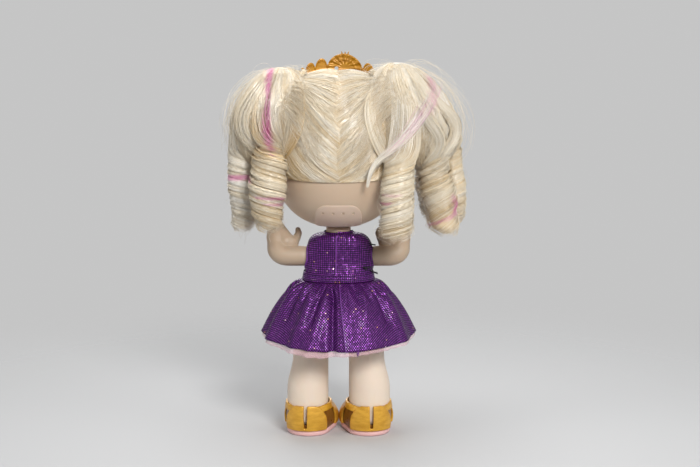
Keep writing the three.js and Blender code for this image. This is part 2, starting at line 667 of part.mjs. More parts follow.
// Arms
function arm() {
  const elbow = UPPER_ARM + ELBOW_BEND;
  const bendStart = vec(UPPER_ARM, 0, 0);
  const bendEnd = vec(elbow, 0, ELBOW_BEND);
  const path = new THREE.CurvePath();
  path.add(new THREE.LineCurve3(vec(0, 0, 0), bendStart));
  path.add(new THREE.QuadraticBezierCurve3(bendStart, vec(elbow, 0, 0), bendEnd));
  path.add(new THREE.LineCurve3(bendEnd, vec(elbow, 0, ELBOW_BEND + FOREARM)));
  const rings = steps(11, (share) => {
    const centre = path.getPoint(share);
    const along = path.getTangent(share);
    const level = vec(-along.z, 0, along.x);
    const tip = THREE.MathUtils.smoothstep(share, WRIST_SHARE, 1);
    const end = Math.sqrt(1 - (Math.max(0, share - FINGER_SHARE) / FINGER_ROUNDING) ** 2);
    const thin = THREE.MathUtils.lerp(1, HAND_THICKNESS / 2 / ARM_RADIUS, tip) * end;
    return circle(12, (turn) =>
      centre
        .clone()
        .addScaledVector(level, ARM_RADIUS * end * Math.cos(turn))
        .addScaledVector(vec(0, -1, 0), ARM_RADIUS * thin * Math.sin(turn))
    );
  });
  const thumbFoot = vec(elbow - ARM_RADIUS / 2, 0, ELBOW_BEND + THUMB_RADIUS);
  const slant = (THUMB_LENGTH + ARM_RADIUS / 2) * Math.SQRT1_2;
  const thumbTip = thumbFoot.clone().add(vec(-slant, 0, slant));
  const flangeFace = -GAP - SOCKET_DEPTH - GAP;
  return solid(skin(rings))
    .add(rod(THUMB_RADIUS, thumbFoot, thumbTip, 10))
    .add(ball(vec(THUMB_RADIUS, THUMB_RADIUS, THUMB_RADIUS), thumbTip, 10))
    .add(rod(PEG_RADIUS, vec(flangeFace - FLANGE_THICKNESS / 2, 0, 0), vec(ARM_RADIUS, 0, 0), 12))
    .add(rod(FLANGE_RADIUS, vec(flangeFace - FLANGE_THICKNESS, 0, 0), vec(flangeFace, 0, 0), 12));
}

// Legs and shoes
function legRadius(height) {
  const calf = THREE.MathUtils.smoothstep(height - SHOE_TOP, 0, CALF_RISE);
  const knee = THREE.MathUtils.smoothstep(height - SHOE_TOP, CALF_RISE, KNEE_RISE);
  return ANKLE_RADIUS + (CALF_RADIUS - ANKLE_RADIUS) * calf + (KNEE_RADIUS - CALF_RADIUS) * knee;
}

function leg(side) {
  const thigh = HIP_HEIGHT - HIP_RADIUS / 3;
  const heights = [UPPER_FOOT, ...steps(7, (share) => THREE.MathUtils.lerp(SHOE_TOP, thigh, share))];
  const rings = heights.map((height) => {
    const radius = legRadius(height);
    return circle(16, (turn) =>
      vec(side * (LEG_HALF_GAP + radius) + radius * Math.cos(turn), radius * Math.sin(turn), height)
    );
  });
  const face = PELVIS_HALF_WIDTH + GAP;
  const rounding = steps(3, (share) => {
    const turn = (share * Math.PI) / 2;
    return new THREE.Vector2(HIP_RADIUS * Math.cos(turn), face + (HIP_WIDTH / 2) * (1 + Math.sin(turn)));
  });
  rounding[rounding.length - 1].x = 0;
  const profile = [new THREE.Vector2(0, face), new THREE.Vector2(HIP_RADIUS, face), ...rounding];
  const disc = new THREE.LatheGeometry(profile, 16).rotateZ(-side * Math.PI / 2);
  const toes = new THREE.SphereGeometry(1, 12, 6);
  const toeHeight = (UPPER_HEIGHT - SHOE_WALL) / 3;
  toes.scale(FOOT_HALF_WIDTH, FOOT_LENGTH, toeHeight);
  toes.translate(0, -FOOT_HALF_WIDTH, UPPER_FOOT + toeHeight).rotateZ(side * -TOE_TURN);
  const clear = PELVIS_RADIUS + TURNING_GAP;
  const at = (x) => vec(side * x, 0, HIP_HEIGHT);
  const flangeFace = PELVIS_HALF_WIDTH - TORSO_WALL - GAP;
  return solid(skin(rings))
    .subtract(rod(clear, at(0), at(face)))
    .add(solid(disc.translate(0, 0, HIP_HEIGHT)))
    .add(solid(toes.translate(side * ANKLE_X, 0, 0)))
    .add(rod(PEG_RADIUS, at(flangeFace - FLANGE_THICKNESS / 2), at(face + HIP_WIDTH / 3), 12))
    .add(rod(FLANGE_RADIUS, at(flangeFace - FLANGE_THICKNESS), at(flangeFace), 12));
}

// A shoe's outline round its heel and toe at a height, in its own frame with the ankle at the origin
function shoeOutline(heel, toe, reach, height, around = 22) {
  return circle(around, (turn) => {
    const normal = vec(Math.cos(turn), Math.sin(turn), 0);
    const atHeel = normal.clone().multiplyScalar(heel);
    const atToe = normal.clone().multiplyScalar(toe).add(vec(0, -reach, 0));
    const point = normal.dot(atHeel) >= normal.dot(atToe) ? atHeel : atToe;
    return point.setZ(height);
  });
}

function shoeSole() {
  const ring = (inset, height) => shoeOutline(HEEL_RADIUS - inset, TOE_RADIUS - inset, TOE_REACH, height);
  return skin([ring(SOLE_EDGE, 0), ring(0, SOLE_EDGE), ring(0, SOLE_THICKNESS)]);
}

function shoeHull(inset, foot, top) {
  const rings = steps(5, (share) => {
    const height = THREE.MathUtils.lerp(foot, top, share);
    const draw = share ** VAMP_CURVE;
    const toe = THREE.MathUtils.lerp(TOE_RADIUS, COLLAR_RADIUS, draw);
    const reach = THREE.MathUtils.lerp(TOE_REACH, COLLAR_REACH, draw);
    return shoeOutline(HEEL_RADIUS - inset, toe - inset, reach, height);
  });
  return solid(skin(rings));
}

function shoeUpper() {
  const windowMiddle = UPPER_FOOT + WINDOW_RISE + WINDOW_HEIGHT / 2;
  const opening = new THREE.CylinderGeometry(1, 1, FAR, 16).rotateZ(Math.PI / 2);
  opening.scale(1, WINDOW_LENGTH / 2, WINDOW_HEIGHT / 2).translate(0, -SHOE_WALL, windowMiddle);
  return shoeHull(0, UPPER_FOOT, SHOE_TOP)
    .subtract(shoeHull(SHOE_WALL, SOLE_THICKNESS, SHOE_TOP - SHOE_WALL))
    .subtract(rod(ANKLE_RADIUS + GAP, vec(0, 0, SHOE_TOP - UPPER_HEIGHT / 2), vec(0, 0, FAR), 20))
    .subtract(solid(opening))
    .subtract(block(vec(-SLIT_WIDTH / 2, 0, UPPER_FOOT + SLIT_FOOT), vec(SLIT_WIDTH / 2, FAR, FAR)));
}

// The doll put together
function headGroup() {
  const head = new THREE.Group();
  head.position.z = HEAD_LEVEL;
  head.add(
    piece("head_shell", headShell(), SKIN),
    piece("nape_panel", napePanel(), PANEL_SKIN),
    piece("scalp_hair", scalpHair(), BLONDE),
    piece("tiara", tiara(), GOLD)
  );
  for (const bunch of [LEFT_BUNCH, RIGHT_BUNCH]) {
    const hand = bunch.side > 0 ? "left" : "right";
    head.add(piece(`hair_bunch_${hand}`, hairBunch(bunch), BLONDE));
    head.add(piece(`hair_tie_${hand}`, tieRing(bunch.side, TIE_TUBE), PINK_HAIR));
  }
  for (const [name, bunch, curl] of RINGLETS) {
    head.add(piece(`ringlet_${name}`, ringlet(bunch, curl), BLONDE));
  }
  return head;
}

function torsoGroup() {
  const torso = new THREE.Group();
  torso.position.z = HIP_HEIGHT;
  const shells = torsoShells();
  const panels = bodicePanels();
  const loopLayer = GAP;
  const hookLayer = loopLayer + TAPE_THICKNESS + GAP;
  torso.add(
    piece("torso_front_shell", shells.front, SKIN),
    piece("torso_rear_shell", shells.rear, SKIN),
    piece("bodice_front", panels.front, PURPLE),
    piece("bodice_back_left", panels.back_left, PURPLE),
    piece("bodice_back_right", panels.back_right, PURPLE),
    piece("closure_loop_tape", closureTape(loopLayer), TAPE_WHITE),
    piece("closure_hook_tape", closureTape(hookLayer), TAPE_WHITE),
    piece("waistband", waistband(), PURPLE),
    piece("skirt", skirt(), PURPLE),
    piece("underskirt", underskirt(), TULLE_PINK)
  );
  return torso;
}

function sideGroup(side) {
  const hand = side > 0 ? "left" : "right";
  const whole = new THREE.Group();
  const shoulder = new THREE.Group();
  shoulder.position.set(side * (SHOULDER_FACE + GAP), 0, SHOULDER_HEIGHT);
  shoulder.rotation.x = ARM_TILT;
  shoulder.scale.x = side;
  shoulder.add(piece(`arm_${hand}`, arm(), SKIN));
  const shoe = new THREE.Group();
  shoe.position.x = side * ANKLE_X;
  shoe.rotation.z = side * -TOE_TURN;
  shoe.add(
    piece(`shoe_sole_${hand}`, shoeSole(), SOLE_PINK),
    piece(`shoe_upper_${hand}`, shoeUpper(), GOLD)
  );
  return whole.add(shoulder, shoe, piece(`leg_${hand}`, leg(side), SKIN));
}

const doll = new THREE.Group();
doll.add(headGroup(), torsoGroup(), piece("neck_post", neckPost(), SKIN), sideGroup(1), sideGroup(-1));

// The origin lies on the ground under the middle of the whole doll
const reach = new THREE.Box3().setFromObject(doll);
const middle = reach.getCenter(new THREE.Vector3());
doll.position.set(-middle.x, -middle.y, -reach.min.z);

export default doll;
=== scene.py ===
"""A miniature doll and its looks: vinyl body, rooted hair in bunches of ringlets, tiara, dress and shoes.

Pieces are made in millimetres round the neck's axis, with the ground at zero, and then put into the frame.
"""
import json
import math

import bpy
import numpy as np
from mathutils import Matrix, Vector


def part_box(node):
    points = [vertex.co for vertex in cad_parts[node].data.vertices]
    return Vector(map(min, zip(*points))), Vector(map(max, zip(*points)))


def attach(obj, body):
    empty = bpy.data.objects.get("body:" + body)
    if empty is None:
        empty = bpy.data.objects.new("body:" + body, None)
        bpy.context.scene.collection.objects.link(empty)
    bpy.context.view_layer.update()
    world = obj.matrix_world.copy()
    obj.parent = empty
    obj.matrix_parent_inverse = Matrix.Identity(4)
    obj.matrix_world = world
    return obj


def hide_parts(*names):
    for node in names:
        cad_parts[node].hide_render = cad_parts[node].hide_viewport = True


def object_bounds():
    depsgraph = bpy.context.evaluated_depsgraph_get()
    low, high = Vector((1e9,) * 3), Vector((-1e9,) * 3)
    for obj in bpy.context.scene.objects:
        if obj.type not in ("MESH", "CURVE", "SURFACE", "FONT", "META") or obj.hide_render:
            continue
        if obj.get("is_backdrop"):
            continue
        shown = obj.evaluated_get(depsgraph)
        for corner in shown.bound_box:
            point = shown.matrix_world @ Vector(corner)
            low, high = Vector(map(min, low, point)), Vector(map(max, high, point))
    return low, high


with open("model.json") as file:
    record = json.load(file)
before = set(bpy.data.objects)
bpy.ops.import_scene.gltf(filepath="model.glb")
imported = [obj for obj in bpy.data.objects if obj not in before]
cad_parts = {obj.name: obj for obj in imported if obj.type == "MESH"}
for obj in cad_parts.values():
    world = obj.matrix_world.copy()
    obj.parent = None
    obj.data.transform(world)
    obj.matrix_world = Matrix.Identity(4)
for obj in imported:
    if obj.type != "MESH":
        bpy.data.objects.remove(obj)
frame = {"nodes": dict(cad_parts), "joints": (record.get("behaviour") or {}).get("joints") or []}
cad_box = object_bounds()

MM = 0.001
draw = np.random.default_rng(11)

# Places that the frame gives
joints = {joint["name"]: joint["pos_m"] for joint in frame["joints"]}
NECK = Vector((joints["head_turn"][0], joints["head_turn"][1], 0))
TO_FRAME = Matrix.Translation(NECK) @ Matrix.Scale(MM, 4)
HIP = joints["leg_left_swing"][2] / MM
SHOULDER = joints["arm_left_swing"][2] / MM
SHOULDER_OUT = (joints["arm_left_swing"][0] - NECK.x) / MM
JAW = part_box("head_shell")[0].z / MM
SHOE_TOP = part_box("shoe_upper_left")[1].z / MM
SIDES = {"left": 1, "right": -1}

# Sizes of the body
GAP = 0.3
HEAD_HALF_WIDTH = 28
HEAD_HALF_DEPTH = 26
HEAD_DROP = 31
HEAD_RISE = 34
HEAD_POWER = 2.35
HEAD_WALL = 2
HEAD_LEVEL = JAW + HEAD_DROP
HEAD_MIDDLE = (0, 0, HEAD_LEVEL)
NECK_RADIUS = 5.2
NECK_LENGTH = 2.3
STEM_RADIUS = 3.2
KNOB_RADIUS = 4.6
KNOB_HEIGHT = 1.5
KNOB_DROP = 2.2
ARM_RADIUS = 4.3
UPPER_ARM = 8.4
ELBOW = 5.6
FOREARM = 8
ARM_TILT = math.radians(28)
HAND_HALF = 2.7
FINGER_RADII = (1.25, 1.1)
LEG_HALF_GAP = 4.4
ANKLE_RADIUS = 8.5
CALF_RADIUS = 8.9
KNEE_RADIUS = 7.6
CALF_RISE = 6
KNEE_RISE = 20
PEG_RADIUS = 2.2
HIP_DISC_RADIUS = 8.6
HIP_DISC_START = 8.3
HIP_DISC_DEPTH = 6
FOOT_RADIUS = 6.4
HEEL_FILL = 8.5
ANKLE_X = LEG_HALF_GAP + ANKLE_RADIUS

# Sizes of the shoes
SOLE_THICKNESS = 2.2
HEEL_RADIUS = 9.8
TOE_RADIUS = 11.4
TOE_REACH = 8
TOE_TURN = math.radians(7)
COLLAR_RADIUS = 8.3
COLLAR_REACH = 2
VAMP_CURVE = 2.2
SHOE_WALL = 1
SHOE_BULGE = 0.9
COUNTER_PROUD = 0.4
# How far in the brown sheet of painted shade inside each shoe lies
SHADE_SHEET_INSET = 2.2

# Places round the shoes' outline, as shares of it from the middle of the heel
COUNTER = 0.118
WINDOW_END = 0.235
SLIT = 0.0058
SLIT_FLARE = 0.0055

# How finely the shoes' outlines are cut up and round
SHOE_STEPS = 60
SHOE_AROUND = 1441

# Sizes of the dress
WAIST = 15.4
WAISTBAND = 3.4
EASE = 0.9
BACK_EASE = 2
CLOTH = 0.35
SKIRT_LENGTH = 25
HEM_HALF_WIDTH = 32.6
HEM_HALF_DEPTH = 29
HEM_DIP = 1.3
FLARE_TURN = 0.8
SEAM = math.pi / 2 + 0.015
SEAM_LEAN = 0.07
OVERLAP = 0.05
OVERLAP_PROUD = 0.35
ARMHOLE = ARM_RADIUS + 0.9
ARMHOLE_FROM = 7
SHOULDER_RISE = SHOULDER - HIP
TORSO_RISE = 34.3
SLOPE_RISE = 30
BELLY_RISE = 10
BELLY = (14.2, 11.4, 9.8)
CHEST = (12.4, 9, 8)
NECK_BASE = 6.6
BODY_POWER = 2.3
DOT_PITCH = 0.86
NET_PITCH = 0.5

# Sizes of the hair; TIE is each tie's place, outward and back, and hair winds round it at TIE_REACH
HAIR = 2.3
NAPE_HAIRLINE = -9.2
BROW_HAIRLINE = 20
TIE = (17, 2)
TIE_REACH = 3.9
BUNCH_BACK = 8
BUNCH_HALF_DEPTH = 15.5
BUNCH_SPLAY = 0.13
STRAND = 0.2
STRAY = 0.1
PART_SHARE = 0.52
TRESSES = 13
RINGLET_TOP = 9

# Bunches: the side; the bulb's middle across and over the head's middle; half its width and height; how far
# its outer top slopes in and its top leans in; and how much wavier it falls on its outer side
BUNCH_FIELDS = ("side", "middle", "half", "slope", "lean", "wavy")
BUNCH_ROWS = {
    "left": (1, (29.5, 15.6), (16.2, 21.5), 0.1, 3, 0.5),
    "right": (-1, (-32.5, 16.6), (19.5, 22.5), 0.24, 5, 1.6),
}
BUNCHES = {hand: dict(zip(BUNCH_FIELDS, row)) for hand, row in BUNCH_ROWS.items()}

# How many strands each kind of hair has
SCALP_STRANDS = 3000
BUNCH_STRANDS = 2000
RINGLET_STRANDS = 140
CROSSING_STRANDS = 110
SWEPT_STRANDS = 70
JOINING_STRANDS = 330
WRAP_STRANDS = 80
RINGLET_STRAYS = 26

# Sizes of the tiara, whose lobes shrink to each side
TIARA_ASIDE = -2.8
TIARA_BACK = -13
TIARA_SWEEP = 4
TIARA_HALF_WIDTH = 18.6
TIARA_BAND = 2.4
SHELL_HALF_WIDTH = 7.6
SHELL_HEIGHT = 5.9
SHELL_RIBS = 13
LOBES = (2.6, 2.1, 1.7)
LOBE_STRETCH = 1.6
POINT_LEANS = (-0.3, 0, 0.3)
EYELET_RADIUS = 0.85


# Nodes

class Wire:
    """A node's socket that takes part in Python expressions."""

    def __init__(self, nodes, socket):
        self.nodes = nodes
        self.socket = socket

    def math(self, operation, *others):
        return self.nodes.node("ShaderNodeMath", {"operation": operation}, dict(enumerate((self, *others))))

    def __add__(self, other):
        return self.math("ADD", other)

    def __sub__(self, other):
        return self.math("SUBTRACT", other)

    def __mul__(self, other):
        return self.math("MULTIPLY", other)

    def __rsub__(self, other):
        return self * -1 + other

    __radd__ = __add__
    __rmul__ = __mul__

    def part(self, axis):
        return self.nodes.node("ShaderNodeSeparateXYZ", {}, {"Vector": self}, axis)

    def step(self, low, high):
        """Rises smoothly from 0 to 1 as the value goes from low to high."""
        settings = {"interpolation_type": "SMOOTHSTEP"}
        return self.nodes.node("ShaderNodeMapRange", settings, {"Value": self, 1: low, 2: high, 3: 0, 4: 1})


class Nodes:
    """A node tree that is built by calls."""

    def __init__(self, tree):
        self.tree = tree
        tree.nodes.clear()

    def node(self, kind, settings=None, inputs=None, output=0):
        made = self.tree.nodes.new(kind)
        for key, value in (settings or {}).items():
            if key == "stops":
                self.set_stops(made.color_ramp, value)
            else:
                setattr(made, key, value)
        for key, value in (inputs or {}).items():
            for one in value if isinstance(value, list) else [value]:
                if isinstance(one, Wire):
                    self.tree.links.new(one.socket, made.inputs[key])
                else:
                    made.inputs[key].default_value = one
        return Wire(self, made.outputs[output]) if made.outputs else None

    @staticmethod
    def set_stops(ramp, stops):
        while len(ramp.elements) < len(stops):
            ramp.elements.new(1)
        for element, (place, colour) in zip(ramp.elements, stops):
            element.position = place
            element.color = (*colour, 1)

    def place(self):
        return self.node("ShaderNodeTexCoord", output="Object")

    def uv(self):
        return self.node("ShaderNodeTexCoord", output="UV")

    def attribute(self, name):
        return self.node("ShaderNodeAttribute", {"attribute_name": name}, output="Fac")

    def noise(self, vector, scale, detail=2):
        return self.node("ShaderNodeTexNoise", {}, {"Vector": vector, "Scale": scale, "Detail": detail})

    def vector(self, operation, *values):
        return self.node("ShaderNodeVectorMath", {"operation": operation}, dict(enumerate(values)))

    def distance(self, vector, centre):
        return self.node("ShaderNodeVectorMath", {"operation": "DISTANCE"}, {0: vector, 1: centre}, "Value")

    def mix(self, share, first, second):
        colours = [one if isinstance(one, Wire) else (*one, 1) for one in (first, second)]
        inputs = {0: share, 6: colours[0], 7: colours[1]}
        return self.node("ShaderNodeMix", {"data_type": "RGBA"}, inputs, 2)

    def bump(self, height, strength, reach):
        return self.node("ShaderNodeBump", {}, {"Height": height, "Strength": strength, "Distance": reach})

    def finish(self, inputs):
        shader = self.node("ShaderNodeBsdfPrincipled", {}, inputs)
        self.node("ShaderNodeOutputMaterial", {}, {"Surface": shader})


def paint(name):
    material = bpy.data.materials.new(name)
    material.use_nodes = True
    return material, Nodes(material.node_tree)


# Finishes

def vinyl(name, colour, flush, cheeks=()):
    """Satin vinyl, faintly mottled, with rosy cheeks where their places are given."""
    material, nodes = paint(name)
    place = nodes.place()
    tone = nodes.mix(nodes.noise(place, 90).step(0.35, 0.75) * 0.35, colour, flush)
    for cheek in cheeks:
        blush = 1 - nodes.distance(place, cheek).step(0.001, 0.0075)
        tone = nodes.mix(blush * 0.5, tone, (0.78, 0.3, 0.27))
    grain = nodes.noise(place, 2600, 3)
    nodes.finish({
        "Base Color": tone,
        "Roughness": 0.42 + nodes.noise(place, 300) * 0.14,
        "Subsurface Weight": 0.12,
        "Subsurface Radius": (1, 0.45, 0.25),
        "Subsurface Scale": 0.0015,
        "Normal": nodes.bump(grain, 0.08, 0.00008),
    })
    return material


def hair_finish():
    """Glossy fibre that reads each strand's tint, its own tone with painted shade, and its share of pink."""
    material, nodes = paint("hair")
    tint = nodes.attribute("tint") + (nodes.noise(nodes.place(), 700) - 0.5) * 0.18
    stops = [
        (0, (0.44, 0.25, 0.08)),
        (0.35, (0.76, 0.575, 0.32)),
        (0.7, (0.89, 0.795, 0.63)),
        (1, (0.95, 0.91, 0.84)),
    ]
    blonde = nodes.node("ShaderNodeValToRGB", {"stops": stops}, {"Fac": tint})
    pink = nodes.mix(tint.step(0.2, 0.9), (0.62, 0.06, 0.27), (0.86, 0.42, 0.6))
    nodes.finish({
        "Base Color": nodes.mix(nodes.attribute("pink"), blonde, pink),
        "Roughness": 0.18 + nodes.noise(nodes.place(), 400) * 0.1,
        "Specular IOR Level": 0.9,
    })
    return material


def cells(nodes, pitch):
    """A square net's cells over the flat map, and the place in each from its middle."""
    net = nodes.vector("MULTIPLY", nodes.uv(), (1 / pitch, 1 / pitch, 0))
    return net, nodes.vector("SUBTRACT", nodes.vector("FRACTION", net), (0.5, 0.5, 0))


def foil_cloth():
    """Dark purple cloth printed with a net of tiny foil dots, each one tilted a little its own way, a few
    painted as glints.
    """
    material, nodes = paint("dotted_cloth")
    net, inside = cells(nodes, DOT_PITCH)
    corner = nodes.vector("FLOOR", net)
    chance = nodes.node("ShaderNodeTexWhiteNoise", {"noise_dimensions": "2D"}, {"Vector": corner}, "Color")
    luck = chance.part("Z")
    across, along = inside.part("X"), inside.part("Y")
    dot = 1 - nodes.distance(inside, (0, 0, 0)).step(0.24, 0.42)
    painted_glint = luck.step(0.986, 0.99)
    tilt = across * (chance.part("X") - 0.5) + along * (chance.part("Y") - 0.5)
    foil = nodes.mix(luck, (0.13, 0.011, 0.22), (0.245, 0.034, 0.345))
    # A few dots are painted pale pink and orange as glints
    foil = nodes.mix(painted_glint, foil, nodes.mix(chance.part("X"), (0.7, 0.4, 0.7), (0.7, 0.25, 0.2)))
    cloth = nodes.mix(nodes.noise(nodes.uv(), 0.35), (0.005, 0.0008, 0.01), (0.014, 0.002, 0.026))
    nodes.finish({
        "Base Color": nodes.mix(dot, cloth, foil),
        "Metallic": dot * 0.4,
        "Roughness": 0.6 - dot * 0.26,
        "Coat Weight": dot * 0.14,
        "Coat Roughness": 0.1,
        "Specular IOR Level": 0.25,
        "Normal": nodes.bump(tilt * (0.8 + painted_glint), 0.4, DOT_PITCH * MM),
    })
    return material


def tulle():
    """Sheer pink net."""
    material, nodes = paint("tulle")
    inside = cells(nodes, NET_PITCH)[1]
    thread = nodes.distance(inside, (0, 0, 0)).step(0.3, 0.42)
    nodes.finish({
        "Base Color": nodes.mix(nodes.noise(nodes.uv(), 0.2), (0.78, 0.46, 0.53), (0.86, 0.6, 0.65)),
        "Roughness": 0.7,
        "Alpha": 0.14 + thread * 0.36,
    })
    return material


def pearl_gold(name, low, high, metal, coat):
    """Pearly gold moulding with fine flow marks and flecks."""
    material, nodes = paint(name)
    place = nodes.place()
    flow = nodes.noise(nodes.vector("MULTIPLY", place, (1, 1, 3)), 240, 4)
    fleck = nodes.noise(place, 5200, 1)
    nodes.finish({
        "Base Color": nodes.mix((flow * 0.7 + fleck * 0.3).step(0.3, 0.7), low, high),
        "Metallic": metal,
        "Roughness": 0.3 + fleck * 0.16,
        "Coat Weight": coat,
        "Coat Roughness": 0.2,
        "Normal": nodes.bump(flow + fleck * 0.4, 0.12, 0.0001),
    })
    return material


def plain(name, low, high, roughness, scale=500):
    """A quiet finish whose tone wanders between two colours."""
    material, nodes = paint(name)
    place = nodes.place()
    grain = nodes.noise(place, scale, 3)
    nodes.finish({
        "Base Color": nodes.mix(grain, low, high),
        "Roughness": roughness + (grain - 0.5) * 0.2,
        "Normal": nodes.bump(grain, 0.15, 0.0001),
    })
    return material


def painted_eye():
    """An eye painted over a disc: white, dark rim, iris with a pale foot, pupil and two catch lights."""
    material, nodes = paint("painted_eye")
    uv = nodes.uv()
    middle = (0, -0.08, 0)
    rim, pupil, shine = (0.05, 0.02, 0.012), (0.008, 0.006, 0.006), (0.95, 0.95, 0.95)
    iris = nodes.mix(uv.part("Y").step(-0.6, 0.4), (0.36, 0.2, 0.09), (0.12, 0.05, 0.02))
    spots = [
        (middle, 0.68, 0.74, rim),
        (middle, 0.6, 0.66, iris),
        (middle, 0.3, 0.36, pupil),
        ((0.24, 0.24, 0), 0.15, 0.19, shine),
        ((-0.22, -0.36, 0), 0.06, 0.1, shine),
    ]
    tone = (0.86, 0.85, 0.84)
    for centre, inner, outer, colour in spots:
        tone = nodes.mix(1 - nodes.distance(uv, centre).step(inner, outer), tone, colour)
    nodes.finish({"Base Color": tone, "Roughness": 0.2, "Coat Weight": 0.6})
    return material


CHEEKS = [TO_FRAME @ Vector((x, -22.5, HEAD_LEVEL - 12)) for x in (-14, 14)]
SKIN = vinyl("skin_vinyl", (0.77, 0.645, 0.52), (0.78, 0.6, 0.47))
# The head's and the arms' vinyl are darker copies of the legs' vinyl: painted shade for the hair's shadow
# over them
FACE_SHADED = vinyl("face_vinyl", (0.61, 0.465, 0.335), (0.62, 0.435, 0.305), CHEEKS)
ARM_SKIN_SHADED = vinyl("arm_vinyl", (0.49, 0.373, 0.266), (0.5, 0.348, 0.24))
# The neck's vinyl is a lighter, warmer copy of the skin: painted light against the shadow under the jaw
NECK_SKIN_LIT = vinyl("neck_vinyl", (0.9, 0.66, 0.5), (0.9, 0.62, 0.46))
PANEL = vinyl("panel_vinyl", (0.73, 0.545, 0.42), (0.74, 0.515, 0.4))
BLONDE = hair_finish()
FOIL = foil_cloth()
TULLE = tulle()
TIARA_GOLD = pearl_gold("tiara_gold", (0.35, 0.145, 0.003), (0.49, 0.23, 0.006), 0.25, 0.14)
SHOE_GOLD = pearl_gold("shoe_gold", (0.565, 0.27, 0.014), (0.75, 0.41, 0.04), 0.3, 0.25)
SOLE_PINK = plain("sole_pink", (0.86, 0.51, 0.49), (0.92, 0.58, 0.56), 0.5)
# Dark brown, painted shade for the inside of the gold shoes
SHADE_BROWN = plain("shoe_lining", (0.14, 0.045, 0.006), (0.3, 0.13, 0.02), 0.3, 300)
TAPE = plain("closure_tape", (0.8, 0.78, 0.79), (0.9, 0.88, 0.89), 0.9, 3000)
TIE_BAND = plain("tie_band", (0.74, 0.6, 0.38), (0.86, 0.74, 0.53), 0.5, 2500)
THREAD_BLACK = plain("black_thread", (0.006, 0.005, 0.007), (0.02, 0.016, 0.022), 0.6, 4000)
THREAD_PURPLE = plain("purple_thread", (0.1, 0.015, 0.17), (0.22, 0.05, 0.33), 0.4, 4000)
LIP_PINK = plain("lip_pink", (0.62, 0.2, 0.2), (0.7, 0.27, 0.26), 0.4)
LASH_BROWN = plain("lash_brown", (0.03, 0.015, 0.01), (0.06, 0.03, 0.02), 0.5, 2000)
BROW_BLONDE = plain("brow_blonde", (0.42, 0.27, 0.13), (0.5, 0.33, 0.17), 0.6, 2000)
EYE = painted_eye()


# Meshes

def grid_faces(rows, columns, closed):
    """Quads between the points of a grid, row by row; a closed grid joins its last column to its first."""
    across = columns if closed else columns - 1
    row, column = np.meshgrid(np.arange(rows - 1), np.arange(across), indexing="ij")
    here = row * columns + column
    beside = row * columns + (column + 1) % columns
    return np.stack([here, beside, beside + columns, here + columns], -1).reshape(-1, 4)


def skin(rings):
    """A closed body through rings of points that run anticlockwise seen from the far end."""
    rings = np.asarray(rings, float)
    count, around = rings.shape[:2]
    faces = grid_faces(count, around, True).tolist()
    foot, top, last = count * around, count * around + 1, (count - 1) * around
    for k in range(around):
        after = (k + 1) % around
        faces += [[foot, after, k], [top, last + k, last + after]]
    return np.concatenate([rings.reshape(-1, 3), rings[[0, -1]].mean(1)]), faces


def slab(outer, inner):
    """A closed body between two grids that lie a wall apart."""
    rows, columns = outer.shape[:2]
    count = rows * columns
    quads = grid_faces(rows, columns, False)
    index = np.arange(count).reshape(rows, columns)
    border = np.concatenate([index[0], index[1:, -1], index[-1, -2::-1], index[-2:0:-1, 0]])
    after = np.roll(border, -1)
    walls = np.stack([after, border, border + count, after + count], -1)
    faces = np.concatenate([quads, quads[:, ::-1] + count, walls])
    return np.concatenate([outer.reshape(-1, 3), inner.reshape(-1, 3)]), faces.tolist()


def together(bodies):
    """Several bodies as one set of points and faces."""
    points, faces, count = [], [], 0
    for body_points, body_faces in bodies:
        points.append(np.asarray(body_points, float))
        faces += [[count + corner for corner in face] for face in body_faces]
        count += len(body_points)
    return np.concatenate(points), faces


def round_turn(count):
    """Turns evenly spaced round a full circle."""
    return np.linspace(0, 2 * math.pi, count, endpoint=False)


def shares(count):
    """Evenly spaced shares from 0 to 1."""
    return np.linspace(0, 1, count)


def spoke(turn):
    """Level directions at turns round the upright axis."""
    return np.stack([np.cos(turn), np.sin(turn), 0 * turn], -1)


def ring(radius, centre, around):
    """A level circle of points."""
    return radius * spoke(round_turn(around)) + np.asarray(centre, float)


def turned(profile, around):
    """A body turned about the upright axis from its foot to its top, as pairs of radius and height."""
    return skin([ring(radius, (0, 0, height), around) for radius, height in profile])


def pebble(centre, half):
    """A rounded body of three half sizes about a centre."""
    points, faces = turned([(math.cos(a), math.sin(a)) for a in np.linspace(-1.5, 1.5, 14)], 40)
    return points * half + centre, faces


def rod(start, end, radius, end_radius=None, around=16, rounded=True):
    """A rod between two points, with rounded ends where wanted."""
    start, end = np.asarray(start, float), np.asarray(end, float)
    end_radius = radius if end_radius is None else end_radius
    length = np.linalg.norm(end - start)
    along = (end - start) / length
    side = np.cross(along, (0, 1, 0) if abs(along[1]) < 0.9 else (1, 0, 0))
    side /= np.linalg.norm(side)
    other = np.cross(along, side)
    turn = round_turn(around)[:, None]
    stations = [(0, 1), (1, 1)]
    if rounded:
        bend = np.linspace(0, math.pi / 2, 5)[1:]
        foot = [(-radius / length * math.sin(b), max(0.05, math.cos(b))) for b in bend[::-1]]
        head = [(1 + end_radius / length * math.sin(b), max(0.05, math.cos(b))) for b in bend]
        stations = foot + stations + head
    rings = []
    for share, swell in stations:
        size = (radius + (end_radius - radius) * min(1, max(0, share))) * swell
        rings.append(start + (end - start) * share + size * (np.cos(turn) * side + np.sin(turn) * other))
    return skin(rings)


def linked(name, data):
    """A new object of the scene."""
    made = bpy.data.objects.new(name, data)
    bpy.context.scene.collection.objects.link(made)
    return made


def finished_mesh(name, points, edges, faces, material):
    """A new mesh in its finish."""
    mesh = bpy.data.meshes.new(name)
    mesh.from_pydata(points, edges, faces)
    mesh.materials.append(material)
    return mesh


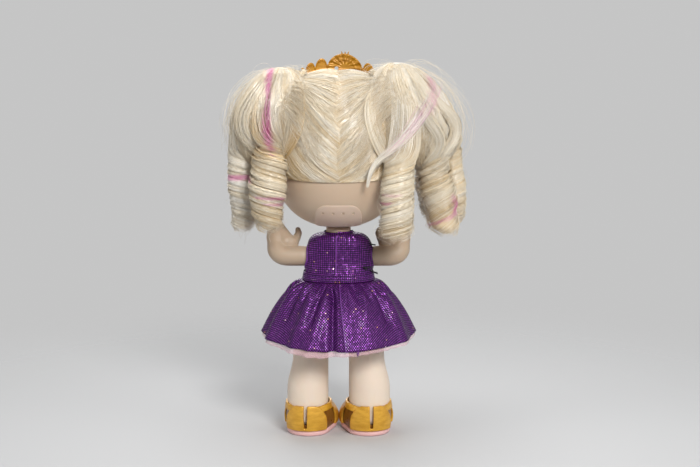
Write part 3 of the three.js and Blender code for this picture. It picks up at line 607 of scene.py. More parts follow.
def piece(name, points, faces, material, uv=None):
    """A smooth mesh object, with a flat map where its points' places on the map are given."""
    mesh = finished_mesh(name, np.asarray(points, float).reshape(-1, 3), [], faces, material)
    mesh.shade_smooth()
    if uv is not None:
        corners = np.empty(len(mesh.loops), np.int32)
        mesh.loops.foreach_get("vertex_index", corners)
        layer = mesh.uv_layers.new(name="flat")
        layer.uv.foreach_set("vector", np.asarray(uv, np.float32).reshape(-1, 2)[corners].ravel())
    return linked(name, mesh)


def settle(made, *modifiers):
    """The piece with modifiers applied: each one is a kind and its settings."""
    for kind, settings in modifiers:
        modifier = made.modifiers.new(kind, kind)
        for key, value in settings.items():
            setattr(modifier, key, value)
    bpy.context.view_layer.update()
    graph = bpy.context.evaluated_depsgraph_get()
    mesh = bpy.data.meshes.new_from_object(made.evaluated_get(graph))
    made.modifiers.clear()
    old, made.data = made.data, mesh
    bpy.data.meshes.remove(old)
    mesh.name = made.name
    return made


def moulding(name, bodies, voxel, rounds, material):
    """Closed bodies fused into one moulding with softened edges."""
    made = piece(name, *together(bodies), material)
    fused = ("REMESH", {"mode": "VOXEL", "voxel_size": voxel, "use_smooth_shade": True})
    return settle(made, fused, ("SMOOTH", {"factor": 0.5, "iterations": rounds}))


def drilled(made, rods):
    """The piece with holes cut through it by rods."""
    drill = piece("drill", *together(rods), made.data.materials[0])
    settle(made, ("BOOLEAN", {"operation": "DIFFERENCE", "object": drill, "solver": "EXACT"}))
    bpy.data.objects.remove(drill)
    return made


def mirrored(made, side):
    """The piece as it was made for the left side, or its mirror image for the right."""
    made.data.transform(Matrix.Diagonal((side, 1, 1, 1)))
    if side < 0:
        made.data.flip_normals()
    return made


def fit(made, body, slot, *nodes):
    """Puts a finished piece into the frame, on its body and in place of its nodes."""
    made.data.transform(TO_FRAME)
    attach(made, body)
    if nodes:
        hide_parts(*nodes)
    return made


# Geometry trees

def geometry_tree(name, inputs):
    """A new tree, its node builder, and a function that gives the socket of a named input."""
    tree = bpy.data.node_groups.new(name, "GeometryNodeTree")
    tree.interface.new_socket("Geometry", in_out="INPUT", socket_type="NodeSocketGeometry")
    for label, kind in inputs.items():
        tree.interface.new_socket(label, in_out="INPUT", socket_type="NodeSocket" + kind)
    tree.interface.new_socket("Geometry", in_out="OUTPUT", socket_type="NodeSocketGeometry")
    nodes = Nodes(tree)
    return tree, nodes, lambda label: nodes.node("NodeGroupInput", output=label)


def close_tree(nodes, geometry, material):
    """Ends a tree with real geometry in its finish."""
    real = nodes.node("GeometryNodeRealizeInstances", {}, {"Geometry": geometry})
    done = nodes.node("GeometryNodeSetMaterial", {}, {"Geometry": real, "Material": material})
    nodes.node("NodeGroupOutput", {}, {"Geometry": done})


def strand_tree():
    """Lines marked as strands become thin tubes, and the rest of the mesh stays."""
    inputs = {"Strand width": "Float", "Sides": "Int", "Finish": "Material"}
    tree, nodes, ask = geometry_tree("strands", inputs)
    marked = nodes.node("GeometryNodeInputNamedAttribute", {"data_type": "BOOLEAN"}, {"Name": "strand"})
    width = nodes.node("GeometryNodeInputNamedAttribute", {"data_type": "FLOAT"}, {"Name": "width"})
    lines = nodes.node("GeometryNodeMeshToCurve", {}, {"Mesh": ask("Geometry"), "Selection": marked})
    circle = {"Resolution": ask("Sides"), "Radius": 0.5}
    section = nodes.node("GeometryNodeCurvePrimitiveCircle", {}, circle)
    tubes = nodes.node("GeometryNodeCurveToMesh", {}, {
        "Curve": lines,
        "Profile Curve": section,
        "Scale": width * ask("Strand width"),
        "Fill Caps": True,
    })
    rest = nodes.node("GeometryNodeDeleteGeometry", {}, {"Geometry": ask("Geometry"), "Selection": marked})
    both = nodes.node("GeometryNodeJoinGeometry", {}, {"Geometry": [tubes, rest]})
    smooth = nodes.node("GeometryNodeSetShadeSmooth", {}, {"Geometry": both})
    close_tree(nodes, smooth, ask("Finish"))
    return tree


def stitch_tree():
    """Rows of stitches along lines: small rounded bars, one every pitch, in line with the row."""
    inputs = {"Pitch": "Float", "Length": "Float", "Thickness": "Float", "Finish": "Material"}
    tree, nodes, ask = geometry_tree("stitches", inputs)
    rows = nodes.node("GeometryNodeMeshToCurve", {}, {"Mesh": ask("Geometry")})
    spacing = {"Curve": rows, "Length": ask("Pitch")}
    points = nodes.node("GeometryNodeCurveToPoints", {"mode": "LENGTH"}, spacing)
    spin = Wire(nodes, points.socket.node.outputs["Rotation"])
    bar = nodes.node("GeometryNodeMeshIcoSphere", {}, {"Radius": 0.5, "Subdivisions": 2})
    size = nodes.node("ShaderNodeCombineXYZ", {}, {
        "X": ask("Thickness"), "Y": ask("Thickness"), "Z": ask("Length"),
    })
    shape = {"Points": points, "Instance": bar, "Rotation": spin, "Scale": size}
    stitches = nodes.node("GeometryNodeInstanceOnPoints", {}, shape)
    close_tree(nodes, stitches, ask("Finish"))
    return tree


def grown(made, tree, **values):
    """The piece with a geometry tree applied; the values set the tree's named inputs."""
    modifier = made.modifiers.new(tree.name, "NODES")
    modifier.node_group = tree
    for item in tree.interface.items_tree:
        label = item.name.replace(" ", "_").lower()
        if item.in_out == "INPUT" and label in values:
            modifier[item.identifier] = values[label]
    return settle(made)


STRAND_TREE = strand_tree()
STITCH_TREE = stitch_tree()


def line_mesh(name, paths, material):
    """Lines of points as a mesh of edges."""
    edges, count = [], 0
    for path in paths:
        edges += [(k, k + 1) for k in range(count, count + len(path) - 1)]
        count += len(path)
    return linked(name, finished_mesh(name, np.concatenate(paths), edges, [], material))


class Strands:
    """Hairs or threads as lines of points, each point with a width, a tint and a share of pink."""

    def __init__(self):
        self.points, self.edges, self.marks = [], [], []
        self.values = {"width": [], "tint": [], "pink": []}
        self.count = 0

    def store(self, points, marked, **values):
        """Keeps points with their values, and returns the first one's number."""
        flat = points.reshape(-1, 3)
        self.points.append(flat)
        self.marks.append(np.full(len(flat), marked))
        for name, value in values.items():
            spread = np.broadcast_to(np.asarray(value, float), points.shape[:-1])
            self.values[name].append(spread.ravel())
        first = self.count
        self.count += len(flat)
        return first

    def add(self, paths, width=1.0, tint=0.6, pink=0.0):
        """Adds lines, as an array of lines by points by three."""
        paths = np.asarray(paths, float)
        lines, along = paths.shape[:2]
        first = self.store(paths, True, width=width, tint=tint, pink=pink)
        start = first + np.arange(lines)[:, None] * along + np.arange(along - 1)
        self.edges.append(np.stack([start.ravel(), start.ravel() + 1], -1))

    def piece(self, name, material, width=STRAND, sides=3, core=None, core_tint=0.5):
        """The strands as thin tubes of a width, over a solid core where one is given."""
        faces = []
        if core is not None:
            points, core_faces = core
            first = self.store(np.asarray(points), False, width=1, tint=core_tint, pink=0)
            faces = [[first + corner for corner in face] for face in core_faces]
        points, edges = np.concatenate(self.points), np.concatenate(self.edges)
        mesh = finished_mesh(name, points, edges, faces, material)
        marks = mesh.attributes.new("strand", "BOOLEAN", "POINT")
        marks.data.foreach_set("value", np.concatenate(self.marks))
        for label, stored in self.values.items():
            values = np.concatenate(stored).astype(np.float32)
            mesh.attributes.new(label, "FLOAT", "POINT").data.foreach_set("value", values)
        made = linked(name, mesh)
        return grown(made, STRAND_TREE, strand_width=width, sides=sides, finish=material)


def each(low, high, lines):
    """A chance value between low and high for each line, as a column."""
    return draw.uniform(low, high, (lines, 1))


def smoothed(paths, passes):
    """Lines with their bends eased and their ends kept."""
    paths = np.array(paths, float)
    for _ in range(passes):
        paths[:, 1:-1] = (paths[:, :-2] + 2 * paths[:, 1:-1] + paths[:, 2:]) / 4
    return paths


def through(knots, along):
    """Points at shares of the way through knots."""
    places = shares(len(knots))
    return np.stack([np.interp(along, places, line) for line in zip(*knots)], -1)


def ease(value, low, high):
    """Rises smoothly from 0 to 1 as a value goes from low to high."""
    share = np.clip((value - low) / (high - low), 0, 1)
    return share * share * (3 - 2 * share)


def blend(first, second, share):
    """Goes evenly from a first value to a second one as the share goes from 0 to 1."""
    return first + (second - first) * share


# Head

def head_half(level, grow):
    """The head's height from its middle, below or above it by the level's sign, grown by a layer."""
    return np.where(level < 0, HEAD_DROP, HEAD_RISE) + grow


def skull(points, grow=0.0):
    """Points moved straight from the head's middle on to its outside, grown by a layer."""
    points = np.asarray(points, float)
    reach = np.hypot(points[..., 0] / (HEAD_HALF_WIDTH + grow), points[..., 1] / (HEAD_HALF_DEPTH + grow))
    lift = np.abs(points[..., 2]) / head_half(points[..., 2], grow)
    size = (reach ** HEAD_POWER + lift ** HEAD_POWER) ** (1 / HEAD_POWER)
    return points / np.maximum(size, 1e-6)[..., None]


def clear_of_head(points, grow):
    """Points in the doll's place, with those inside the grown head moved out on to it."""
    local = points - HEAD_MIDDLE
    outside = skull(local, grow)
    inside = (np.linalg.norm(outside, axis=-1) > np.linalg.norm(local, axis=-1))[..., None]
    return np.where(inside, outside, local) + HEAD_MIDDLE


def head_depth(x, z, grow=0.0, least=0.0):
    """Half the head's depth at a place across and up from its middle, grown by a layer."""
    lift = np.minimum(1, np.abs(z) / head_half(z, grow)) ** HEAD_POWER
    share = (1 - lift) ** (2 / HEAD_POWER) - (x / (HEAD_HALF_WIDTH + grow)) ** 2
    return (HEAD_HALF_DEPTH + grow) * np.sqrt(np.maximum(least, share))


def behind_head(points, grow):
    """Points in the doll's place, with those inside the grown head moved straight back out of it."""
    x, y, z = np.moveaxis(points, -1, 0)
    back = head_depth(x, z - HEAD_LEVEL, grow)
    return np.stack([x, np.where(back > 0, np.maximum(y, back), y), z], -1)


def crown_height(x, y, grow):
    """The crown's height over the head's middle at a place in plan, grown by a layer."""
    reach = np.hypot(x / (HEAD_HALF_WIDTH + grow), y / (HEAD_HALF_DEPTH + grow))
    return (HEAD_RISE + grow) * np.maximum(0, 1 - reach ** HEAD_POWER) ** (1 / HEAD_POWER)


def swell(points, centre, spread, amount):
    """How far a soft swelling lifts points, by their place in the front view."""
    across = (points[..., 0] - centre[0]) / spread[0]
    up = (points[..., 2] - centre[1]) / spread[1]
    return amount * np.exp(-(across ** 2 + up ** 2) / 2)


# The face's swellings: place across and up, breadth and height, and lift; nose, its bridge, chin, cheeks
# and the hollows for the eyes
SWELLINGS = [
    ((0, -8), (1.7, 1.6), 1.7),
    ((0, -4), (1.3, 4), 0.35),
    ((0, -24), (5, 3.5), 0.5),
    ((-14, -13), (6, 5), 0.7),
    ((-10.4, -2.5), (5, 5), -0.45),
    ((14, -13), (6, 5), 0.7),
    ((10.4, -2.5), (5, 5), -0.45),
]


def face_relief(points):
    """Outward lift of the face by its swellings."""
    lift = sum(swell(points, *shape) for shape in SWELLINGS)
    return np.where(points[..., 1] < 0, lift, 0)


def head_rings(grow, count, around, hole):
    """Rings up the head from its neck hole, grown by a layer."""
    low = -math.acos(hole / (HEAD_HALF_WIDTH * 0.9))
    level = round_turn(around)
    angles = np.linspace(low, math.pi / 2 - 0.03, count)
    return np.array([skull(math.cos(a) * spoke(level) + (0, 0, math.sin(a)), grow) for a in angles])


def head():
    """The hollow head with its face's relief."""
    outside = head_rings(0, 90, 128, STEM_RADIUS + GAP)
    normal = outside / np.linalg.norm(outside, axis=-1, keepdims=True)
    outside = outside + normal * face_relief(outside)[..., None]
    inside = head_rings(-HEAD_WALL, 30, 128, STEM_RADIUS + GAP)[::-1]
    made = piece("head", *skin(np.concatenate([inside, outside]) + HEAD_MIDDLE), FACE_SHADED)
    return fit(made, "head", "skin", "head_shell")


def on_face(x, z, grow):
    """Points on the face by their place in the front view, from the head's middle."""
    points = np.stack([x, -head_depth(x, z), z], -1)
    normal = points / np.linalg.norm(points, axis=-1, keepdims=True)
    return points + normal * (face_relief(points) + grow)[..., None] + HEAD_MIDDLE


def face_disc(name, centre, half, lift, material):
    """A thin lens on the face, with a flat map from -1 to 1 over it."""
    share = np.linspace(0.04, 1, 14)[:, None]
    turn = round_turn(48)
    u, v = share * np.cos(turn), share * np.sin(turn)
    x, z = centre[0] + half[0] * u, centre[1] + half[1] * v
    grow = lift * (1 - share ** 6) - 0.12 * share ** 6 + 0 * turn
    front, back = on_face(x, z, grow), on_face(x, z, grow - 0.5)
    points, faces = skin(np.concatenate([front, back[::-1]]))
    flat = np.stack([u, v], -1)
    flat = np.concatenate([flat, flat[::-1]]).reshape(-1, 2)
    poles = np.zeros((2, 2))
    return piece(name, points, [face[::-1] for face in faces], material, np.concatenate([flat, poles]))


def face_line(points, width, grow):
    """A line drawn on the face, tapering to both ends."""
    along = shares(16)
    x, z = through(points, along).T
    path = smoothed(on_face(x, z, grow + 0 * along)[None], 3)
    return path, width * (0.15 + 0.85 * np.sin(np.pi * along))


def oval_point(centre, half, side, angle):
    """A place on an oval, by its angle from the oval's outer end."""
    return centre[0] + side * half[0] * math.cos(angle), centre[1] + half[1] * math.sin(angle)


# Sizes of the painted face, across and up
EYE_PLACE = (10.2, -3)
EYE_HALF = (4.3, 5.2)
LID_HALF = (4.5, 5.3)
LASH_HALF = (4.4, 5.2)
LASH_LENGTH = (2.1, 2)
LASH_ANGLES = np.radians((14, 30, 48, 68))
LASH_LIFT = 0.4
LINE_WIDTH = 0.9
BROW_INNER = 5.6
BROW_LENGTH = 9
BROW_LEVEL = 6.4
BROW_ARCH = 2.2
MOUTH_LEVEL = -15.4
MOUTH_HALF = 3.6

# The two lips: drop below the mouth's level, width and bow
LIPS = ((0, 1.1, 0.35), (1.05, 1.5, -0.1))


def face():
    """Eyes, lashes, brows and mouth of a plain doll's face."""
    lashes, brows, mouth = Strands(), Strands(), Strands()
    for hand, side in SIDES.items():
        centre = (side * EYE_PLACE[0], EYE_PLACE[1])
        fit(face_disc(f"eye_{hand}", centre, EYE_HALF, 0.25, EYE), "head", "skin")
        angles = np.radians(np.linspace(15, 168, 9))
        lashes.add(*face_line([oval_point(centre, LID_HALF, side, a) for a in angles], 1, 0.2))
        for a in LASH_ANGLES:
            x, z = oval_point(centre, LASH_HALF, side, a)
            tip = oval_point((x, z + LASH_LIFT), LASH_LENGTH, side, a * 0.8)
            lashes.add(*face_line([(x, z), tip], 0.5, 0.25))
        along = np.array([0, 0.3, 0.6, 1])
        arch = BROW_LEVEL + BROW_ARCH * np.sin(math.pi * (0.15 + 0.7 * along))
        brow = np.stack([side * (BROW_INNER + BROW_LENGTH * along), arch], -1)
        brows.add(*face_line(brow, 0.9, 0.1))
    for drop, width, bow in LIPS:
        x = np.linspace(-MOUTH_HALF + drop, MOUTH_HALF - drop, 9)
        smile = 0.9 * (x / MOUTH_HALF) ** 2 * (1 - 0.25 * drop)
        curve = np.stack([x, MOUTH_LEVEL - drop + smile + 0.6 * bow * np.cos(x * 1.7)], -1)
        mouth.add(*face_line(curve, width, 0))
    fit(lashes.piece("lashes", LASH_BROWN, LINE_WIDTH, 8), "head", "skin")
    fit(brows.piece("brows", BROW_BLONDE, LINE_WIDTH, 8), "head", "skin")
    fit(mouth.piece("lips", LIP_PINK, 1, 12), "head", "skin")


def nape_panel():
    """A thin shield on the nape with a round top and four small holes."""
    half, foot, top, corner = 9.8, -29.8, -19.4, 5
    hole_level, hole_pitch, hole_radius = -23, 4.2, 0.5
    share = np.linspace(-1, 1, 61)
    rows = shares(40)[:, None]
    x = half * share
    inset = np.maximum(0, np.abs(x) - (half - corner))
    edge = top - corner + np.sqrt(np.maximum(0, corner ** 2 - inset ** 2))
    z = foot + (edge - foot) * rows
    points = np.stack([x + 0 * rows, head_depth(x, z, least=0.001), z], -1)
    rim = np.minimum(1 - np.abs(share) ** 10, 1 - rows ** 14)
    outer = skull(points, 0.08 + 0.16 * np.sqrt(np.maximum(0, rim)))
    inner = skull(points, 0.02 + 0 * rim)
    outer, inner = outer[:, ::-1] + HEAD_MIDDLE, inner[:, ::-1] + HEAD_MIDDLE
    made = piece("nape_panel", *slab(outer, inner), PANEL)
    rods = []
    for hole in (-1.5, -0.5, 0.5, 1.5):
        start = np.array([hole * hole_pitch, 15, HEAD_LEVEL + hole_level])
        rods.append(rod(start, start + (0, 15, 0), hole_radius, around=12, rounded=False))
    return fit(drilled(made, rods), "head", "panel", "nape_panel")


def neck():
    """The neck, with a knob inside the head and one inside the torso."""
    top = JAW - GAP
    foot = top - NECK_LENGTH
    low, high = foot - KNOB_DROP, JAW + HEAD_WALL + GAP
    profile = [(KNOB_RADIUS, low - KNOB_HEIGHT), (KNOB_RADIUS, low), (STEM_RADIUS, low)]
    profile += [(STEM_RADIUS, foot), (NECK_RADIUS, foot), (NECK_RADIUS, top), (STEM_RADIUS, top)]
    profile += [(STEM_RADIUS, high), (KNOB_RADIUS, high), (STEM_RADIUS, high + KNOB_HEIGHT)]
    return fit(piece("neck", *turned(profile, 64), NECK_SKIN_LIT), "torso", "skin", "neck_post")


# Limbs

# The length of the elbow's bend for each millimetre that it goes out and up
BEND_LENGTH = 1.62


def arm_path(share):
    """Place and direction along a bent arm, from its shoulder's face."""
    arc = BEND_LENGTH * ELBOW
    length = UPPER_ARM + arc + FOREARM
    run = share * length
    if run < UPPER_ARM:
        return np.array([run, 0, 0]), np.array([1.0, 0, 0])
    if run < UPPER_ARM + arc:
        t = (run - UPPER_ARM) / arc
        place = np.array([UPPER_ARM + ELBOW * (2 * t - t * t), 0, ELBOW * t * t])
        along = np.array([1 - t, 0, t])
        return place, along / np.linalg.norm(along)
    return np.array([UPPER_ARM + ELBOW, 0, ELBOW + run - UPPER_ARM - arc]), np.array([0, 0, 1.0])


# The thumb's places on the hand, outward, back and up from the shoulder's face, each with its radius
THUMB = [
    ((7.4, -0.3, 5.2), 2.5),
    ((5.4, -0.3, 8.0), 1.75),
    ((4.5, -0.3, 10.4), 1.5),
    ((4.8, -0.3, 12.0), 1.2),
]

# What fills the crook of the elbow: a pebble's middle and half sizes, and a rod's ends and radii
CROOK_PEBBLE = ((9.8, 0, 6.2), (5.6, 3.5, 3.6))
CROOK_ROD = ((9.8, 0, 6.4), (12.9, 0, 12.6), 3.9, 2.6)

# The fingers' places across the palm, and how far each reaches past it
FINGERS = {-2.85: 2.2, -0.95: 3.1, 0.95: 3.2, 2.85: 2.4}
PALM_DROP = 4
ARM_PEG = 4.5


def arm(hand, side):
    """A bent arm with a plump elbow, a narrow wrist, a mitten of fingers and a peg in the shoulder."""
    rings = []
    turn = round_turn(40)[:, None]
    for share in shares(44):
        place, along = arm_path(share)
        level = np.array([-along[2], 0, along[0]])
        tip = ease(share, 0.62, 1)
        end = math.sqrt(max(0.02, 1 - (max(0, share - 0.8) / 0.205) ** 2))
        wrist = 1 - 0.1 * math.exp(-((share - 0.68) / 0.07) ** 2)
        plump = wrist * (1 - 0.05 * math.exp(-((share - 0.02) / 0.05) ** 2))
        thin = blend(1, HAND_HALF / ARM_RADIUS, tip) * end * plump
        wide = ARM_RADIUS * end * plump
        deep = np.array([0, -1, 0]) * ARM_RADIUS * thin
        rings.append(place + level * wide * np.cos(turn) + deep * np.sin(turn))
    bodies = [skin(rings), pebble(*CROOK_PEBBLE), rod(*CROOK_ROD, 24)]
    for (first, wide), (second, narrow) in zip(THUMB, THUMB[1:]):
        bodies.append(rod(first, second, wide, narrow, 20))
    for finger, length in FINGERS.items():
        start = np.array([UPPER_ARM + ELBOW + finger, 0, ELBOW + FOREARM - PALM_DROP])
        bodies.append(rod(start, start + (0, 0, length), *FINGER_RADII))
    bodies.append(rod((-ARM_PEG, 0, 0), (ARM_RADIUS, 0, 0), PEG_RADIUS, around=24, rounded=False))
    made = mirrored(moulding(f"arm_{hand}", bodies, 0.3, 4, ARM_SKIN_SHADED), side)
    place = Matrix.Translation((side * SHOULDER_OUT, 0, SHOULDER))
    made.data.transform(place @ Matrix.Rotation(ARM_TILT, 4, "X"))
    return fit(made, f"arm_{hand}", "skin", f"arm_{hand}")


def hip_turned(profile, around):
    """A body turned about the hips' axis, from its inner end outwards."""
    points, faces = turned(profile, around)
    return np.stack([points[:, 2], points[:, 1], HIP - points[:, 0]], -1), faces


# How far out the leg's peg starts and ends; how far under the hips' axis the thigh ends; and how far forward
# the toes lie, with their half sizes
LEG_PEG = (4.8, 12)
THIGH_DROP = 2.9
TOES_FORWARD = 7.2
TOES_HALF = (7, 7.4, 3.5)


def leg(hand, side):
    """A leg that swells at the calf, with a hip disc, a peg in the torso and a foot inside the shoe."""
    foot = SOLE_THICKNESS + GAP
    rings = []
    shin = np.linspace(SHOE_TOP, HIP - THIGH_DROP, 36)
    for height in np.concatenate([np.linspace(foot, SHOE_TOP, 10)[:-1], shin]):
        shod = ease(height, SHOE_TOP - 5, SHOE_TOP - 2)
        knee = ease(height - SHOE_TOP, CALF_RISE - 1, KNEE_RISE)
        heel = blend(FOOT_RADIUS, HEEL_FILL, ease(height, foot + 0.5, foot + 4))
        radius = blend(blend(heel, CALF_RADIUS, shod), KNEE_RADIUS, knee)
        middle = LEG_HALF_GAP + blend(CALF_RADIUS, KNEE_RADIUS, knee)
        rings.append(ring(radius, (middle, 0, height), 64))
    disc = [(HIP_DISC_RADIUS, HIP_DISC_START)]
    for a in np.linspace(0, 1.45, 10):
        disc.append((HIP_DISC_RADIUS * math.cos(a), HIP_DISC_START + HIP_DISC_DEPTH * (1 + math.sin(a))))
    peg = hip_turned([(PEG_RADIUS, out) for out in LEG_PEG], 24)
    points, faces = pebble((0, -TOES_FORWARD, foot + TOES_HALF[2]), TOES_HALF)
    turn = Matrix.Rotation(-TOE_TURN, 3, "Z")
    toes = (points @ np.array(turn).T + (ANKLE_X, 0, 0), faces)
    bodies = [skin(rings), hip_turned(disc, 64), peg, toes]
    made = mirrored(moulding(f"leg_{hand}", bodies, 0.45, 5, SKIN), side)
    return fit(made, f"leg_{hand}", "skin", f"leg_{hand}")


# Shoes

def shoe_outline(heel, toe, reach, count):
    """Evenly spaced points round a shoe in plan, from the middle of its heel, in its own frame."""
    turn = np.linspace(math.pi / 2, math.pi * 2.5, 721)
    normal = np.stack([np.cos(turn), np.sin(turn)], -1)
    at_toe = normal * toe + (0, -reach)
    further = (normal * at_toe).sum(1) > heel
    line = np.where(further[:, None], at_toe, normal * heel)
    run = np.concatenate([[0], np.cumsum(np.linalg.norm(np.diff(line, axis=0), axis=1))])
    even = np.linspace(0, run[-1], count)
    return np.stack([np.interp(even, run, line[:, 0]), np.interp(even, run, line[:, 1])], -1)


def shoe_ring(share, inset, count):
    """The upper's outline at a share of its height, drawn in by a layer and bulging over the sole."""
    curve = share ** VAMP_CURVE
    toe = blend(TOE_RADIUS, COLLAR_RADIUS, curve)
    reach = blend(TOE_REACH, COLLAR_REACH, curve)
    bulge = SHOE_BULGE * math.sin(math.pi * min(1, 0.12 + share * 0.85)) - inset
    flat = shoe_outline(HEEL_RADIUS + bulge, toe + bulge * (1 - curve), reach, count)
    height = blend(SOLE_THICKNESS + GAP, SHOE_TOP, share)
    return np.concatenate([flat, np.full((count, 1), height)], -1)


SHOE_RINGS = {
    inset: [shoe_ring(step / SHOE_STEPS, inset, SHOE_AROUND) for step in range(SHOE_STEPS + 1)]
    for inset in (0, -COUNTER_PROUD, SHOE_WALL, SHADE_SHEET_INSET)
}


def shoe_panel(first, last, foot, top, outside=0, inside=SHOE_WALL, rows=20, columns=60, slant=None):
    """A stretch of the upper between two shares of its outline; foot and top are shares of its height."""
    outer, inner = np.empty((rows, columns, 3)), np.empty((rows, columns, 3))
    wanted = np.linspace(first, last, columns)
    for row, along in enumerate(shares(rows)):
        for column, place in enumerate(wanted):
            where = (column / (columns - 1)) * 2 - 1
            place = (place + (slant(where, along) if slant else 0)) % 1
            spot = int(round(place * (SHOE_AROUND - 1)))
            step = int(round(blend(foot(where), top(where), along) * SHOE_STEPS))
            outer[row, column] = SHOE_RINGS[outside][step][spot]
            inner[row, column] = SHOE_RINGS[inside][step][spot]
    return slab(outer[:, ::-1], inner[:, ::-1])


def fit_shoe(made, hand, side, slot, *nodes):
    """Stands a finished piece of a shoe under its leg, with the toe turned out, and fits it there."""
    place = Matrix.Translation((side * ANKLE_X, 0, 0))
    made.data.transform(place @ Matrix.Rotation(-side * TOE_TURN, 4, "Z"))
    return fit(made, f"leg_{hand}", slot, *nodes)


def shoe_upper(hand, side):
    """Heel counter with a slit, a strap to each side, and the toe box."""
    level = lambda share: lambda where: share
    bodies = []
    for way in (1, -1):
        start, end = sorted((way * SLIT, way * COUNTER))
        corner = lambda where: 0.93 - 0.4 * max(0, way * where) ** 2.6
        open_out = lambda where, along: way * SLIT_FLARE * along * (1 - way * where) / 2
        bodies.append(shoe_panel(start, end, level(0), corner, -COUNTER_PROUD, slant=open_out))
        near, far = sorted((way * (COUNTER - 0.085), way * (WINDOW_END + 0.02)))
        low = lambda where: 0.71 + 0.05 * way * where
        high = lambda where: 0.94 + 0.06 * way * where
        bodies.append(shoe_panel(near, far, low, high, columns=50))
    bridge = SLIT * 1.5
    bodies.append(shoe_panel(-bridge, bridge, level(0), level(0.1), -COUNTER_PROUD, rows=8, columns=8))
    bodies.append(shoe_panel(WINDOW_END, 1 - WINDOW_END, level(0), level(1), columns=150, rows=44))
    made = moulding(f"shoe_upper_{hand}", bodies, 0.24, 3, SHOE_GOLD)
    return fit_shoe(made, hand, side, "shoe_gold", f"shoe_upper_{hand}")


def shoe_lining(hand, side):
    """A brown sheet of painted shade inside the shoe, low behind the heel slit and higher behind the side
    windows.
    """
    rim = lambda where: 0.24 + 0.5 * ease(abs(where), 0.2, 0.5)
    end = WINDOW_END + 0.03
    body = shoe_panel(-end, end, lambda where: 0, rim, SHOE_WALL, SHADE_SHEET_INSET, columns=140)
    made = piece(f"shoe_lining_{hand}", *body, SHADE_BROWN)
    return fit_shoe(made, hand, side, "shoe_gold")


# The sole's rim, from its foot up: how far it is drawn in, and its height
SOLE_RIM = ((1.5, 0), (0.95, 0.1), (0.6, 0.5), (0.35, 1.1), (0.2, 1.8), (0.3, 2.3), (0.8, 2.5))


def shoe_sole(hand, side):
    """A sole with a rounded rim that tucks in under the upper."""
    rings = []
    for inset, height in SOLE_RIM:
        flat = shoe_outline(HEEL_RADIUS - inset, TOE_RADIUS - inset, TOE_REACH, 145)[:-1]
        rings.append(np.concatenate([flat, np.full((len(flat), 1), height)], -1))
    made = piece(f"shoe_sole_{hand}", *skin(rings), SOLE_PINK)
    return fit_shoe(made, hand, side, "sole", f"shoe_sole_{hand}")


# Dress

def body_at(rise):
    """Half width, front and back of the body at a height over the hips."""
    lower = np.maximum(0, BELLY_RISE - rise) / BELLY_RISE
    upper = ease(rise, BELLY_RISE, SHOULDER_RISE)
    slope = np.clip((rise - SLOPE_RISE) / (TORSO_RISE - SLOPE_RISE), 0, 1)
    sizes = []
    for belly, chest in zip(BELLY, CHEST):
        straight = blend(belly, chest, upper) * (1 - 0.18 * lower * lower)
        sizes.append(NECK_BASE + (straight - NECK_BASE) * np.sqrt(1 - slope * slope))
    return sizes


def body_oval(turn, rise, grow, behind):
    """Points round the body at a height, out by a layer, and by another one behind."""
    width, front, back = body_at(rise)
    bend = lambda value: np.sign(value) * np.abs(value) ** (2 / BODY_POWER)
    lift = np.maximum(0, rise - SLOPE_RISE) / (TORSO_RISE - SLOPE_RISE)
    y = bend(np.sin(turn))
    depth = np.where(y < 0, front + grow, back + behind)
    height = HIP + rise + lift * grow + 0 * turn
    return np.stack([(width + grow) * bend(np.cos(turn)), y * depth, height], -1)


def flat_map(points, middle):
    """A map in millimetres over a grid of points: across from a middle column, and up from the foot."""
    across = np.linalg.norm(np.diff(points, axis=1), axis=-1)
    across = np.concatenate([np.zeros((len(points), 1)), np.cumsum(across, 1)], 1)
    across -= across[:, middle][:, None]
    up = np.linalg.norm(np.diff(points, axis=0), axis=-1).mean(1)
    up = np.concatenate([[0], np.cumsum(up)])[:, None] + 0 * across
    return np.stack([across, up], -1)


def cloth_piece(name, points, flat, material, thickness, keep=None):
    """A sheet of cloth over a grid of points, with its flat map and its thickness inwards."""
    rows, columns = points.shape[:2]
    faces = grid_faces(rows, columns, False)
    if keep is not None:
        faces = faces[keep.ravel()[faces].any(1)]
    made = piece(name, points, faces.tolist(), material, flat)
    return settle(made, ("SOLIDIFY", {"thickness": thickness, "offset": -1}))


def flared_map(points, turn):
    """A map over a flared sheet, laid out flat as a sector about its seam."""
    up = np.linalg.norm(np.diff(points, axis=0), axis=-1).mean(1)
    up = np.concatenate([[0], np.cumsum(up)])[:, None]
    reach = up[-1] - up + 20
    angle = (turn - turn.mean()) * FLARE_TURN
    return np.stack([reach * np.sin(angle), -reach * np.cos(angle)], -1)


def bodice_fit(rise, proud=0.0):
    """How far the bodice's outside stands off the body at a height, at the front and behind."""
    snug = ease(rise, SHOULDER_RISE - 7, SHOULDER_RISE)
    front, behind = blend(EASE, 0.3, snug), blend(BACK_EASE, 1.6, snug)
    return front + CLOTH + proud, behind + CLOTH + proud


# How far each armhole's edge stands out beside the arm: at its top, behind it and at its foot
CAPS = {1: (0, 1.7, 0.7), -1: (0.9, 2.3, 1.2)}


def cap(side, y, z):
    """How far the cloth beside an armhole stands out, at a place behind and over the arm's axis."""
    top, behind, foot = CAPS[side]
    away = np.maximum(np.hypot(y, z), ARMHOLE)
    stand = behind * (y / away) ** 2 + np.where(z > 0, top, foot) * (z / away) ** 2
    seam = HIP + WAIST + WAISTBAND - SHOULDER
    return stand * np.exp((ARMHOLE - away) / 2.4) * ease(z, seam - 0.5, seam + 3)


